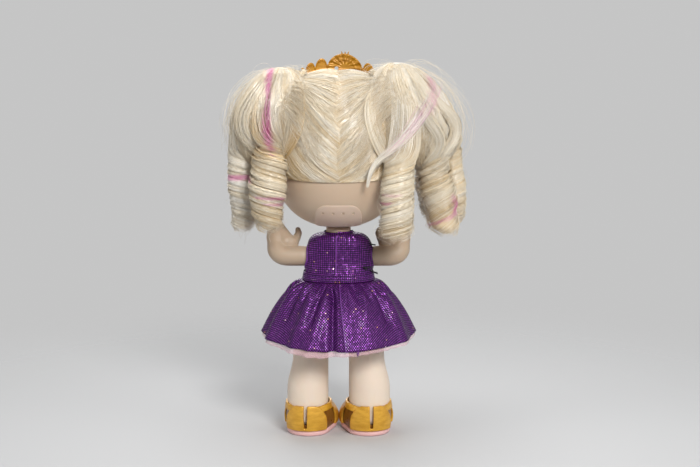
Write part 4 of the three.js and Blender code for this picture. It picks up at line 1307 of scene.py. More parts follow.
def bodice_panel(name, first, last, middle, proud):
    """A bodice panel between two turns round the body, cut round the armholes."""
    turn = np.linspace(first, last, 90)
    rises = np.linspace(WAIST + WAISTBAND - 0.8, TORSO_RISE, 64)
    points = np.stack([body_oval(turn, rise, *bodice_fit(rise, proud)) for rise in rises])
    up = rises[:, None]
    pucker = 0.07 * np.sin(turn * 31) * np.sin(up * 0.9) + 0.08 * np.sin(turn * 13 + up * 0.5)
    points = points + spoke(turn) * pucker[..., None]
    grow = bodice_fit(TORSO_RISE, proud)[0]
    neck = shares(8)[1:, None]
    radius = blend(NECK_BASE + grow, NECK_RADIUS + 1.0, np.sin(neck * math.pi / 2))
    height = HIP + TORSO_RISE + grow + 0.9 * (1 - np.cos(neck * math.pi / 2))
    collar = np.stack([radius * np.cos(turn), radius * np.sin(turn), height + 0 * turn], -1)
    points = np.concatenate([points, collar])
    away = np.hypot(points[..., 1], points[..., 2] - SHOULDER)
    inside = (np.abs(points[..., 0]) > ARMHOLE_FROM) & (away < ARMHOLE)
    scale = np.where(inside, ARMHOLE / np.maximum(away, 0.01), 1)
    points[..., 1] = points[..., 1] * scale
    points[..., 2] = SHOULDER + (points[..., 2] - SHOULDER) * scale
    for side in (1, -1):
        beside = ease(side * points[..., 0], ARMHOLE_FROM, ARMHOLE_FROM + 4)
        points[..., 0] += side * beside * cap(side, points[..., 1], points[..., 2] - SHOULDER)
    return cloth_piece(name, points, flat_map(points, middle), FOIL, CLOTH, ~inside)


def edge_rolls():
    """Rolled edges of the armholes and of the overlap down the back."""
    rolls = Strands()
    turn = np.linspace(0, 2 * math.pi, 80)
    y, z = ARMHOLE * np.cos(turn), SHOULDER + ARMHOLE * np.sin(turn)
    width, front, back = body_at(z - HIP)
    grow, behind = bodice_fit(z - HIP)
    depth = np.where(y < 0, front + grow, back + behind)
    out = (width + grow) * (1 - (np.abs(y) / depth) ** BODY_POWER) ** (1 / BODY_POWER) - 0.1
    for side in (1, -1):
        rolls.add(np.stack([side * (out + cap(side, y, z - SHOULDER)), y, z], -1)[None])
    rises = np.linspace(WAIST + WAISTBAND - 0.3, TORSO_RISE - 0.3, 60)
    edge = np.full(60, math.pi / 2 - OVERLAP)
    rolls.add(body_oval(edge, rises, *bodice_fit(rises, OVERLAP_PROUD))[None], 0.7)
    falls = np.linspace(0.01, 1, 60)
    rolls.add(skirt_point(falls, seam_turn(falls) + 0.014, -0.12)[None], 0.55)
    return fit(rolls.piece("dress_edges", THREAD_PURPLE, 0.7, 8), "torso", "dress")


def bodice():
    """The bodice's three panels, the right one over the left at the back, and their edges."""
    panels = {
        "bodice_front": (-math.pi, 0, 45, 0),
        "bodice_back_left": (0, math.pi / 2, 89, 0),
        "bodice_back_right": (math.pi / 2 - OVERLAP, math.pi, 0, OVERLAP_PROUD),
    }
    for name, (first, last, middle, proud) in panels.items():
        made = fit(bodice_panel(name, first, last, middle, proud), "torso", "dress", name)
    edge_rolls()


# The waistband's stitches
STITCH = {"pitch": 1.5, "length": 1.1, "thickness": 0.3}


def band_row(turn, share, proud):
    """Points round the waistband at a share of its height, out by a layer."""
    rise = WAIST - 0.2 + (WAISTBAND + 0.3) * share
    return body_oval(turn, rise, EASE + proud, BACK_EASE + proud)


def waistband():
    """A band folded into three ridges, with a row of stitches in each hollow between them."""
    turn = np.linspace(math.pi / 2, math.pi * 2.5, 241)
    ridge = lambda share: 0.28 * abs(math.sin(3 * math.pi * share)) ** 0.7
    points = np.array([band_row(turn, share, 0.75 + ridge(share)) for share in shares(25)])
    made = cloth_piece("waistband", points, flat_map(points, 0), FOIL, 0.5)
    fit(made, "torso", "dress", "waistband")
    lines = [band_row(turn, share, 0.85) for share in (1 / 3, 2 / 3)]
    rows = line_mesh("waist_stitches", lines, THREAD_PURPLE)
    fit(grown(rows, STITCH_TREE, finish=THREAD_PURPLE, **STITCH), "torso", "dress")


# The back's own folds: turn at the waist and at the hem, height, breadth, and where each starts and ends as
# shares of the skirt's fall
FOLDS = [
    (0.45, 0.47, 1.3, 0.12, 0.0, 1.3),
    (1.06, 0.94, 1.3, 0.085, 0.02, 1.3),
    (1.36, 1.19, 1.3, 0.075, 0.08, 1.3),
    (2.1, 1.92, 1.1, 0.08, 0.04, 0.4),
    (2.68, 2.58, 1.3, 0.12, 0.05, 1.3),
    (0.62, 0.66, -1.5, 0.07, 0.0, 0.5),
    (0.88, 0.8, -1.1, 0.05, 0.0, 0.28),
    (1.21, 1.08, -1.8, 0.06, 0.02, 0.5),
    (1.47, 1.5, -2.6, 0.055, 0.05, 1.3),
    (1.77, 1.8, -0.9, 0.04, 0.0, 0.2),
    (1.96, 2.02, -1.2, 0.05, 0.0, 0.22),
    (2.45, 2.4, -1.6, 0.07, 0.0, 0.55),
]


def seam_turn(fall):
    """The back seam's turn round the body, which leans to the right as it falls."""
    return SEAM + SEAM_LEAN * np.minimum(1, fall)


def wrapped(angle):
    """An angle brought to within half a turn of zero."""
    return np.arctan2(np.sin(angle), np.cos(angle))


def skirt_waves(fall, turn):
    """How far the skirt's folds, gathers and seam stand out."""
    fold = skirt_fold(turn)
    wave = 1.5 * fold * np.sqrt(np.minimum(1, fall)) * (1 - 0.35 * ease(fall, 0.5, 1))
    for top, hem, height, breadth, first, last in FOLDS:
        away = wrapped(turn - blend(top, hem, fall))
        span = ease(fall, first, first + 0.14) * (1 - ease(fall, last, last + 0.25))
        wave = wave + height * (np.exp(-(away / breadth) ** 2) * span)
    gather = np.sin(29 * turn + 1.7 * np.sin(5 * turn)) * ease(fall, 0, 0.05) * (1 - ease(fall, 0.1, 0.3))
    past = wrapped(turn - seam_turn(fall))
    lip = 0.45 * ease(past, -0.012, 0.012) * (1 - ease(past, 0.05, 0.35))
    return wave + 0.9 * gather + lip


def skirt_fold(turn):
    """The even folds round the skirt, which fade towards the middle of its back."""
    fold = np.cos(12 * turn + 0.7 * np.sin(3 * turn + 1)) * (1 + 0.3 * np.sin(2 * turn))
    return fold * (1 - 0.75 * ease(np.sin(turn), 0.1, 0.6))


def skirt_point(fall, turn, layer):
    """Skirt cloth at a share of its fall and a turn round the body, drawn in by a layer."""
    width, front, back = body_at(WAIST)
    flare = np.minimum(1, fall) ** 0.6 + 0.6 * np.maximum(0, fall - 1)
    wave = skirt_waves(fall, turn) - layer
    stand = 0.7
    wide = blend(width + EASE + stand, HEM_HALF_WIDTH, flare)
    ahead = blend(front + EASE + stand, HEM_HALF_DEPTH, flare)
    behind = blend(back + BACK_EASE + stand, HEM_HALF_DEPTH, flare)
    depth = np.where(np.sin(turn) < 0, ahead, behind)
    ripple = 0.5 * skirt_fold(turn) + HEM_DIP * (np.cos(2 * turn) + 0.35)
    height = HIP + WAIST - GAP - fall * SKIRT_LENGTH + ripple * np.minimum(1, fall) ** 2
    return np.stack([(wide + wave) * np.cos(turn), (depth + wave) * np.sin(turn), height + 0 * turn], -1)


def skirt():
    """The gathered skirt, in one piece from its back seam round to it."""
    turn = np.linspace(SEAM, SEAM + 2 * math.pi, 541)
    falls = shares(46) ** 1.4
    points = np.array([skirt_point(fall, turn, 0.1) for fall in falls])[::-1]
    flat = flared_map(points, turn)
    made = fit(cloth_piece("skirt", points, flat, FOIL, CLOTH), "torso", "dress", "skirt")


def underskirt():
    """The net under the skirt, which shows below its hem, most on the left of the back."""
    turn = np.linspace(SEAM, SEAM + 2 * math.pi, 361)
    falls = np.linspace(0.26, 1.065, 24)
    points = []
    droop = 0.045 * np.exp(-(wrapped(turn - 1.2) / 0.45) ** 2)
    for fall in falls:
        row = skirt_point(fall + droop * ease(fall, 0.8, 1), turn, 1.15)
        row[:, 2] += 0.12 * np.sin(41 * turn) * ease(fall, 0.9, 1.065)
        points.append(row)
    points = np.array(points)[::-1]
    made = cloth_piece("underskirt", points, flat_map(points, 0), TULLE, 0.12)
    fit(made, "torso", "tulle", "underskirt")


def thread_bits(name, first, last, count, material, width):
    """Short loose threads that run from one place on a seam to another."""
    threads = Strands()
    along = shares(8)[:, None]
    length = np.linalg.norm(np.subtract(last, first))
    for _ in range(count):
        start = np.asarray(first) + draw.normal(0, 0.25, 3)
        end = blend(start, np.asarray(last) + draw.normal(0, 0.3, 3), draw.uniform(0.6, 1.1))
        bend = draw.normal(0, length * 0.08, 3)
        threads.add((blend(start, end, along) + bend * np.sin(math.pi * along))[None])
    return fit(threads.piece(name, material, width, 5), "torso", "dress")


def loose_threads():
    """Black threads at the neck, the right armhole and the waist, and purple ones at the hem."""
    thread_bits("neck_threads", (-5.6, 5.3, 87.2), (-8.2, 7.2, 85.4), 4, THREAD_BLACK, 0.36)
    thread_bits("armhole_threads", (-12.6, 4.0, 83), (-16.2, 3.0, 82.3), 3, THREAD_BLACK, 0.36)
    thread_bits("waist_threads", (-10.9, 8.9, 73.5), (-16.6, 1.8, 69.6), 4, THREAD_BLACK, 0.4)
    hem = skirt_point(np.array(0.99), np.array(math.pi / 2 + 0.26), 0)
    thread_bits("hem_threads", hem, hem + (0.2, 0.7, -2.2), 9, THREAD_PURPLE, 0.16)


# Tiara

def tiara_top(x):
    """The tiara's height over its foot at places across it: the shell's dome between the lobes."""
    dome = lambda centre, radius: np.sqrt(np.maximum(0, 1 - ((x - centre) / radius) ** 2))
    height = SHELL_HEIGHT * dome(0, SHELL_HALF_WIDTH)
    edge = SHELL_HALF_WIDTH
    for radius in LOBES:
        edge += radius
        lobes = np.maximum(dome(edge, radius), dome(-edge, radius))
        height = np.maximum(height, radius * LOBE_STRETCH * lobes)
        edge += radius
    return TIARA_BAND + height


def tiara():
    """Ribbed shell between rows of lobes, with three small points and an eyelet beside the shell's foot."""
    x = np.linspace(-TIARA_HALF_WIDTH, TIARA_HALF_WIDTH, 240)
    y = TIARA_BACK + TIARA_SWEEP * (x / TIARA_HALF_WIDTH) ** 2
    foot = crown_height(x + TIARA_ASIDE, y, HAIR + 0.2)
    rise = tiara_top(x)
    z = shares(60)[:, None] * rise
    up = np.maximum(0, z - TIARA_BAND) * SHELL_HALF_WIDTH / SHELL_HEIGHT
    away = np.hypot(x, up)
    in_shell = (away < SHELL_HALF_WIDTH) & (z > TIARA_BAND)
    angle = np.arctan2(x + 0 * z, up + 0.01)
    ribs = np.where(in_shell, 0.25 * np.cos(angle * SHELL_RIBS) * ease(away, 1.5, 4), 0)
    arc = np.where(in_shell, 0.2 * np.exp(-((away - 4.4) / 0.35) ** 2), 0)
    bead = 0.28 * np.exp(-((rise - z - 0.6) / 0.45) ** 2)
    band = 0.3 * np.exp(-((z - 1.1) / 0.6) ** 2)
    half = 0.55 + ribs + arc + bead + band
    height = HEAD_LEVEL + foot + z - 0.3
    outer = np.stack([x + TIARA_ASIDE + 0 * z, y + half, height], -1)
    inner = np.stack([x + TIARA_ASIDE + 0 * z, y - half, height], -1)
    bodies = [slab(outer[:, ::-1], inner[:, ::-1])]
    base = HEAD_LEVEL + crown_height(TIARA_ASIDE, TIARA_BACK, HAIR + 0.2)
    for lean in POINT_LEANS:
        root = np.array([TIARA_ASIDE + lean * 3.6, TIARA_BACK, base + TIARA_BAND + SHELL_HEIGHT - 0.9])
        bodies.append(rod(root, root + (math.sin(lean) * 1.6, 0, 1.5), 0.45, 0.2, 12))
    made = moulding("tiara", bodies, 0.17, 2, TIARA_GOLD)
    eye = np.array([TIARA_ASIDE + 3.7, TIARA_BACK, base + TIARA_BAND - 0.6])
    eyelet = rod(eye - (0, 4, 0), eye + (0, 4, 0), EYELET_RADIUS, around=20, rounded=False)
    return fit(drilled(made, [eyelet]), "head", "tiara_gold", "tiara")


# Hair

def hair_foot(y):
    """The hairline's height over the head's middle by its depth: low at the nape and rising to the brow."""
    forward = (HEAD_HALF_DEPTH - y) / (2 * HEAD_HALF_DEPTH)
    return blend(NAPE_HAIRLINE, BROW_HAIRLINE, forward ** 2)


def hairline(turn):
    """Where the hair starts on the skull at a turn round the head, from the head's middle."""
    low, high = np.full_like(turn, 0.3), np.full_like(turn, 1.0)
    for _ in range(40):
        middle = (low + high) / 2
        y = HEAD_HALF_DEPTH * middle * np.sin(turn)
        z = hair_foot(y)
        inside = middle ** HEAD_POWER + (np.abs(z) / head_half(z, 0)) ** HEAD_POWER < 1
        low, high = np.where(inside, middle, low), np.where(inside, high, middle)
    return skull(np.stack([HEAD_HALF_WIDTH * low * np.cos(turn), y, z], -1))


def scalp_core():
    """A smooth cap under the strands, its rim drawn down to the skin."""
    foot = hairline(round_turn(120))
    top = np.array([0, 0, HEAD_RISE])
    rings = [skull(foot, 0.1)]
    for share in np.linspace(0, 0.985, 48):
        rings.append(skull(blend(foot, top, share), 0.2 + 0.5 * ease(share, 0, 0.08)))
    return skin(np.array(rings) + HEAD_MIDDLE)


def bezier(first, control, last, share):
    """A curve from a first place to a last one, drawn towards a control place."""
    return (1 - share) ** 2 * first + 2 * share * (1 - share) * control + share ** 2 * last


def tie_place(side):
    """Where a bunch is tied, from the head's middle."""
    return np.array([side * TIE[0], TIE[1], crown_height(*TIE, HAIR)])


def scalp_hair():
    """Strands from the centre part and the hairline, combed up and out to the two ties."""
    lines, along = SCALP_STRANDS, 11
    for hand, side in SIDES.items():
        strands = Strands()
        tie = tie_place(side)
        place = draw.uniform(0, 1, lines)
        on_part = place < PART_SHARE
        bend = np.radians(blend(-50, 108, np.clip(place / PART_SHARE, 0, 1)))
        ragged = 0.022 * np.sin(9 * bend) + draw.normal(0, 0.016, lines)
        part = np.stack([ragged, np.sin(bend), np.cos(bend)], -1)
        turn = math.pi / 2 - math.pi * np.clip((place - PART_SHARE) / (1 - PART_SHARE), 0, 1)
        root = np.where(on_part[:, None], skull(part), hairline(turn) * (side, 1, 1))
        low = np.clip((8 - root[:, 2]) / 17, 0, 1)[:, None]
        behind = np.clip(root[:, 1] / 20, 0, 1)[:, None]
        control = (root + tie) / 2 + (side * 5, 0, -4) * (1 + 0.9 * low * behind)
        way = root - tie
        last = tie + way / np.linalg.norm(way, axis=1, keepdims=True) * each(0.5, 3.2, lines)
        start = np.where(draw.uniform(0, 1, lines) < 0.6, 0, draw.uniform(0, 0.6, lines))[:, None]
        share = start + (1 - start) * shares(along)
        path = bezier(root[:, None], control[:, None], last[:, None], share[..., None])
        wander = draw.normal(0, 0.35, (lines, 1, 3)) * np.sin(math.pi * share)[..., None]
        run = place * 2 * math.pi
        lock = 0.6 * np.sin(run * 31 + 2 * np.sin(place * 40)) + 0.4 * np.sin(run * 13 + 1)
        layer = (1.5 + 0.12 * lock + draw.uniform(-0.3, 0.35, lines))[:, None]
        layer = 0.85 + (layer - 0.85) * ease(share, 0, 0.18) + 1.6 * ease(share, 0.75, 1)
        path = skull(path + wander, layer) + HEAD_MIDDLE
        # Painted shade: the lower-lying locks, the hair nearing the tie and the hair low beside the ringlets
        # are darker; so are the roots
        tint = (0.66 + 0.14 * lock + draw.normal(0, 0.09, lines))[:, None]
        tint = tint - 0.12 * (1 - ease(share, 0, 0.08)) - 0.2 * ease(share, 0.6, 1)
        beside = ease(np.abs(path[..., 0]), 11, 19) * (1 - ease(path[..., 2] - HEAD_LEVEL, -4, 14))
        tint = tint - 0.22 * beside * ease(path[..., 1], 8, 16)
        taper = 0.5 + 0.5 * np.sin(math.pi * np.linspace(0.15, 0.85, along))
        strands.add(path, each(0.6, 1.3, lines) * taper, tint)
        core = scalp_core() if hand == "left" else None
        made = strands.piece(f"scalp_hair_{hand}", BLONDE, core=core, core_tint=0.5)
        fit(made, "head", "hair", *(["scalp_hair"] if hand == "left" else []))


def bulb(bunch, around, polar, scale=1.0, veil=0.0):
    """A point on a bunch's bulb, by its turn round the bulb and its angle from the top."""
    wide, tall = bunch["half"]
    outer = np.maximum(0, bunch["side"] * np.cos(around)) * np.clip(0.55 + np.cos(polar), 0, 1)
    narrow = 1 - bunch["slope"] * outer * (1 - veil)
    x = wide * scale * narrow * np.sin(polar) * np.cos(around)
    y = BUNCH_HALF_DEPTH * scale * np.sin(polar) * np.sin(around)
    z = tall * scale * np.cos(polar)
    x = x - bunch["side"] * (BUNCH_SPLAY * z + bunch["lean"] * np.maximum(0, z / tall) ** 2)
    middle, level = bunch["middle"]
    return np.stack([middle + x, BUNCH_BACK + y, HEAD_LEVEL + level + z], -1)


def off_the_head(points, around, grow):
    """Points of a bunch moved out of the head: straight back on its back and inner side, else outward."""
    behind = (np.sin(around) > -0.3)[..., None]
    return np.where(behind, behind_head(points, grow), clear_of_head(points, grow))


def bunch_core(bunch):
    """A solid bulb under a bunch's strands."""
    turn = round_turn(64)
    polar = np.linspace(3.0, 0.1, 40)[:, None] + 0 * turn
    inner = np.maximum(0, -bunch["side"] * np.cos(turn)) ** 2
    rings = bulb(bunch, turn + 0 * polar, polar, 0.9 - 0.28 * inner)
    return skin(off_the_head(rings, turn + 0 * polar, HAIR + 0.3))


# Pink streaks: places across and up, each with half the streak's breadth there; the streak's strength; and
# whether it is on the doll's back
STREAKS = [
    ([(27.7, 157.5, 1.5), (28.3, 149.6, 1.3), (28.3, 144.1, 1.1), (29, 137.9, 1.8), (29, 132.5, 2.1),
      (27.9, 127.7, 1.5), (26.4, 122.5, 0.4)], 1, True),
    ([(47.5, 111.6, 1.5), (36.5, 112.2, 1.2)], 0.85, True),
    ([(33, 105.3, 0.5), (22, 104.8, 0.8)], 0.8, True),
    ([(29.5, 102.6, 0.4), (22, 102.3, 0.8)], 0.65, True),
    ([(-18, 106.4, 0.4), (-26, 106.4, 0.4)], 0.5, True),
    ([(-17, 102.9, 0.6), (-21, 102.9, 0.5)], 0.75, True),
    ([(-47.1, 104.8, 0.7), (-49.2, 101, 1.2), (-48, 97.2, 0.9)], 0.8, True),
    ([(-49, 97, 1), (-44.3, 94.7, 1.1), (-36.5, 92, 0.5)], 0.65, True),
    ([(-37.5, 153, 1.2), (-39.4, 148, 2), (-38.2, 143, 1.2), (-35, 138, 0.4)], 0.6, True),
    ([(33, 150, 1.2), (36, 138, 1.6), (37, 124, 1)], 0.8, False),
    ([(30, 106, 1), (44, 105, 1)], 0.7, False),
    ([(-36, 112, 1), (-48, 111, 1.2)], 0.7, False),
]


def pink_at(points):
    """How pink the hair is at points, by the streaks."""
    pink = np.zeros(points.shape[:-1])
    flat = points[..., [0, 2]]
    behind = points[..., 1] > BUNCH_BACK - 4
    for line, strength, on_back in STREAKS:
        line = np.array(line, float)
        for start, end in zip(line[:-1], line[1:]):
            run = end[:2] - start[:2]
            share = np.clip(((flat - start[:2]) @ run) / (run @ run), 0, 1)
            away = np.linalg.norm(flat - start[:2] - share[..., None] * run, axis=-1)
            mark = strength * (1 - ease(away / blend(start[2], end[2], share), 0.5, 1.2))
            pink = np.maximum(pink, np.where(behind == on_back, mark, 0))
    return pink


def hair_bunch(hand, bunch):
    """Rounded tresses that rise from the tie, roll over the top and fall in waves round the bunch."""
    strands = Strands()
    side = bunch["side"]
    lines = BUNCH_STRANDS
    tie = tie_place(side) + HEAD_MIDDLE
    edges = (np.arange(TRESSES + 1) + draw.uniform(-0.3, 0.3, TRESSES + 1)) * 2 * math.pi / TRESSES
    edges[-1] = edges[0] + 2 * math.pi
    around = draw.uniform(edges[0], edges[-1], lines)
    tress = np.searchsorted(edges, around) - 1
    middle, half = (edges[tress] + edges[tress + 1]) / 2, (edges[tress + 1] - edges[tress]) / 2
    off = (around - middle) / half
    crest = np.sqrt(1 - 0.95 * off ** 2)
    share = shares(12)
    first, last = each(0.08, 0.3, lines), each(1.9, 2.8, lines)
    polar = first + (last - first) * share
    drift, wave = draw.normal(0, 0.14, TRESSES)[tress], draw.uniform(0.04, 0.13, TRESSES)[tress]
    wave = wave * (1 + bunch["wavy"] * np.maximum(0, side * np.cos(middle)))
    phase = draw.uniform(0, 6, TRESSES)[tress]
    sweep = drift[:, None] * share + wave[:, None] * np.sin(6.5 * share + phase[:, None]) * share
    gathered = (middle + off * half)[:, None] - (0.2 * off * half)[:, None] * ease(share, 0.2, 1) + sweep
    gathered = gathered + draw.normal(0, 0.02, (lines, 1)) * share
    raised = draw.normal(0, 0.016, TRESSES)[tress] + 0.06 * crest + draw.uniform(-0.02, 0.012, lines)
    depth = 0.985 + (raised[:, None] - 0.045) * ease(share, 0.02, 0.4)
    inner = np.maximum(0, -side * np.cos(gathered)) ** 2
    depth = depth - each(0, 0.3, lines) * inner * ease(polar, 0.8, 1.6)
    fall = off_the_head(bulb(bunch, gathered, polar, depth), gathered, HAIR + 0.3 + 12 * (depth - 0.95))
    control = fall[:, 0] * (0.5, 0.5, 1) + tie * (0.5, 0.5, 0)
    start = tie + draw.normal(0, 1.6, (lines, 3)) * (1, 1, 0.4)
    rise = bezier(start[:, None], control[:, None], fall[:, :1], shares(5)[None, :-1, None])
    path = clear_of_head(smoothed(np.concatenate([rise, fall], 1), 1), HAIR + 0.2)
    along = shares(path.shape[1])
    # Painted shade: tresses are darker towards their edges, on the inner side low down, at their tips under
    # the bulb and at the tie
    tint = 0.5 + 0.22 * crest + draw.normal(0, 0.06, TRESSES)[tress] + draw.normal(0, 0.06, lines)
    tint = tint[:, None] - 0.2 * np.pad(inner * ease(polar, 0.9, 1.5), ((0, 0), (4, 0)))
    pink = pink_at(path)
    deeper = 0.35 * pink * (1 - ease(path[..., 2], HEAD_LEVEL + 8, HEAD_LEVEL + 22))
    tint = tint - 0.1 * ease(along, 0.75, 1) - 0.08 * (1 - ease(along, 0.05, 0.3)) - deeper
    taper = 0.5 + 0.5 * np.sin(math.pi * np.linspace(0.1, 0.92, len(along)))
    strands.add(path, each(0.7, 1.35, lines) * taper, tint, pink)
    # The core's low tint is painted shade deep in the bunch
    made = strands.piece(f"hair_bunch_{hand}", BLONDE, core=bunch_core(bunch), core_tint=0.35)
    return fit(made, "head", "hair", f"hair_bunch_{hand}")


# Ringlets: where the axis starts and ends in plan, outward and back from the bunch's middle; how far the
# curl falls past the jaw; its radius and the foot's share of it; how far it falls in one turn; the share of
# its length where it starts to wind; the lanes of hair side by side in it; the share where its core leans
# into the bunch; and the tint of its hair, raised on the left outer ringlet as painted light against the
# shade that falls on it
RINGLET_FIELDS = ("top", "foot", "past", "radius", "end", "pitch", "wind", "lanes", "merge", "tint")
RINGLET_ROWS = {
    "left_inner": ((-0.9, 14), (-1.3, 17), -1, 7.6, 0.66, 12, 1.0, 4, 0.74, 0.5),
    "left_outer": ((9.5, 0), (10.5, 1), 1, 6.6, 0.66, 8, 0.8, 3, 0.7, 0.68),
    "left_front": ((5.5, -13), (8.5, -19.5), -1, 6.2, 0.7, 9, 0.95, 3, 0.7, 0.5),
    "right_inner": ((-6, 14), (-9.8, 20.4), 1.6, 6.7, 1.08, 11, 0.76, 4, 0.72, 0.5),
    "right_middle": ((5, 3), (12.5, 4), 2.4, 7.6, 0.8, 21, 0.95, 6, 0.5, 0.5),
    "right_outer": ((14.5, -6), (17.5, -11.5), -1, 5.2, 0.75, 10, 0.9, 3, 0.7, 0.5),
    "right_front": ((4.5, -13), (8.8, -21), -0.5, 6.2, 0.75, 9, 0.95, 3, 0.7, 0.5),
}
RINGLETS = {name: dict(zip(RINGLET_FIELDS, row)) for name, row in RINGLET_ROWS.items()}


def ringlet_axis(bunch, curl, share):
    """A ringlet's middle, and its radius, at a share of its length from its foot."""
    sway = 0.5 * np.sin(7 * share + curl["radius"] * 9)
    out = bunch["side"] * blend(curl["foot"][0], curl["top"][0], share) + sway
    back = blend(curl["foot"][1], curl["top"][1], share)
    height = blend(JAW - curl["past"], HEAD_LEVEL + RINGLET_TOP, share)
    taper = blend(curl["end"], 1, np.sin(np.clip(share / 0.55, 0, 1) * math.pi / 2))
    taper = taper + 0.04 * np.sin(13 * share + 2)
    taper = taper * np.sqrt(1 - np.clip((0.13 - share) / 0.17, 0, 0.95) ** 2)
    return np.stack([bunch["middle"][0] + out, BUNCH_BACK + back, height], -1), curl["radius"] * taper


def ringlet_ends(bunch, curl):
    """The foot and the top of a ringlet's axis."""
    return ringlet_axis(bunch, curl, np.array([0.0, 1.0]))[0]


def ringlet_paths(bunch, curl, start, reach, loose, last):
    """Strand paths from the bunch's top down its bulb and round the ringlet, each from its own turn."""
    levels = np.linspace(-0.2, 1.2, 281)
    foot, top = ringlet_ends(bunch, curl)
    winding = np.cumsum(ease(curl["wind"] - levels, -0.1, 0.12)[::-1])[::-1] * (levels[1] - levels[0])
    turns = np.linalg.norm(top - foot) / curl["pitch"]
    turn_at = lambda share: start + bunch["side"] * 2 * math.pi * turns * np.interp(share, levels, winding)

    def place(share, loose=0.0):
        middle, radius = ringlet_axis(bunch, curl, share)
        turn = turn_at(share) + 0.25 * np.sin(8 * share + curl["radius"])
        return middle + spoke(turn) * (radius * (reach + loose))[..., None]

    begin = np.ones_like(start)
    for _ in range(4):
        local = place(begin) - (bunch["middle"][0], BUNCH_BACK, HEAD_LEVEL + bunch["middle"][1])
        across, deep = local[..., 0] / bunch["half"][0], local[..., 1] / BUNCH_HALF_DEPTH
        inside = np.minimum(np.hypot(across, deep), 0.995)
        polar = math.pi - np.arcsin(inside)
        level = HEAD_LEVEL + bunch["middle"][1] + bunch["half"][1] * np.cos(polar)
        begin = np.clip((level - foot[2]) / (top[2] - foot[2]), 0.55, 1)
    around = np.arctan2(deep, across)
    polar = blend(0.5, polar - 0.12, shares(10))
    lead = bulb(bunch, around + 0 * polar, polar, 1.0)
    share = begin + (last - begin) * shares(loose.shape[1])
    path = np.concatenate([lead, place(share, loose)[:, 1:]], 1)
    path[:, 3:20] = smoothed(path[:, 3:20], 6)
    return path


def ringlet_core(bunch, curl):
    """A solid curl under a ringlet's strands, which leans into the bunch at its top."""
    inward = -np.array([bunch["side"] * curl["top"][0], curl["top"][1], 0]) / math.hypot(*curl["top"])
    out = spoke(round_turn(28))
    rings = []
    for place in np.concatenate([np.linspace(0.03, 0.15, 6), np.linspace(0.18, 1.12, 30)]):
        middle, size = ringlet_axis(bunch, curl, np.array(place))
        merge = ease(place, curl["merge"], 1.08)
        rounding = math.sin(math.pi / 2 * min(1, (place + 0.01) / 0.12))
        size = size * 0.84 * (1 - 0.85 * merge) * rounding
        rings.append(middle + inward * merge * curl["radius"] + out * size)
    return skin(clear_of_head(np.array(rings), HAIR + 0.1))


def bunch_of(name):
    """The bunch that a ringlet hangs from, by the first word of its name."""
    return BUNCHES[name.split("_")[0]]


def ringlet(name, curl):
    """Hair that runs down over the bunch and winds into a hanging curl of rounded lanes."""
    strands = Strands()
    bunch = bunch_of(name)
    lanes = curl["lanes"]
    lines = RINGLET_STRANDS
    start = ((np.arange(lines) + draw.uniform(0, 1, lines)) / lines * 2 * math.pi)[:, None]
    edges = np.cumsum(np.concatenate([[0], draw.uniform(0.4, 1.6, lanes)]))
    edges = edges / edges[-1] * 2 * math.pi
    lane = np.clip(np.searchsorted(edges, start) - 1, 0, lanes - 1)
    off = 2 * (start - edges[lane]) / (edges[lane + 1] - edges[lane]) - 1
    crest = np.sqrt(np.maximum(0, 1 - 0.95 * off ** 2))
    reach = 0.88 + 0.11 * crest + draw.normal(0, 0.025, lanes)[lane] + draw.normal(0, 0.014, (lines, 1))
    foot, top = ringlet_ends(bunch, curl)
    count = int(max(34, np.linalg.norm(top - foot) / curl["pitch"] * 13))
    last = each(-0.02, 0.3, lines) * each(0, 1, lines)
    loose = shares(count) ** 6 * draw.normal(-0.05, 0.14, (lines, 1))
    path = clear_of_head(ringlet_paths(bunch, curl, start, reach, loose, last), HAIR + 0.3)
    whole = shares(path.shape[1])
    # Painted shade: the lanes are darker towards their edges, and the core under them is darker than the
    # hair
    tint = curl["tint"] + 0.16 * crest + draw.normal(0, 0.05, lanes)[lane]
    tint = tint + draw.normal(0, 0.07, (lines, 1))
    width = each(0.7, 1.35, lines) * np.interp(whole, [0, 0.08, 0.9, 1], [0.3, 1, 1, 0.35])
    strands.add(path, width, tint + 0.07 * np.sin(9 * whole + lane), pink_at(path))
    core = ringlet_core(bunch, curl)
    made = strands.piece(f"ringlet_{name}", BLONDE, core=core, core_tint=curl["tint"] - 0.08)
    return fit(made, "head", "hair", f"ringlet_{name}")


# Places across, back and up along the lock that crosses the right bunch
CROSSING_LOCK = [
    (-39.5, 17, 149), (-37.5, 22, 143.5), (-34, 25, 138), (-29.5, 27.5, 132), (-25.3, 29, 127.1),
    (-19.9, 29.8, 123), (-15.7, 29.5, 120.2), (-13, 29.4, 116.1), (-12, 28.8, 109.9),
]


def crossing_lock():
    """A pale lock that crosses the right bunch from its outer top down to the nape."""
    strands = Strands()
    along = shares(26)
    base = smoothed(through(CROSSING_LOCK, along)[None], 4)[0]
    lines = CROSSING_STRANDS
    across = draw.normal(0, 1, (lines, 3)) * (0.9, 0.25, 0.8)
    spread = np.interp(along, [0, 0.3, 0.6, 0.8, 1], [1.9, 1.6, 1.0, 0.5, 0.35])[None, :, None]
    path = behind_head(base + across[:, None] * spread, HAIR + 0.6)
    blush = np.interp(along, [0, 0.25, 0.5, 0.7, 1], [0.7, 0.6, 0.4, 0, 0])
    pink = blush * (each(0, 1, lines) < 0.3)
    width = each(0.6, 1.1, lines) * np.interp(along, [0, 0.2, 0.85, 1], [0.3, 1, 1, 0.4])
    strands.add(path, width, 0.9 + draw.normal(0, 0.1, (lines, 1)), pink)
    return fit(strands.piece("crossing_lock", BLONDE), "head", "hair")


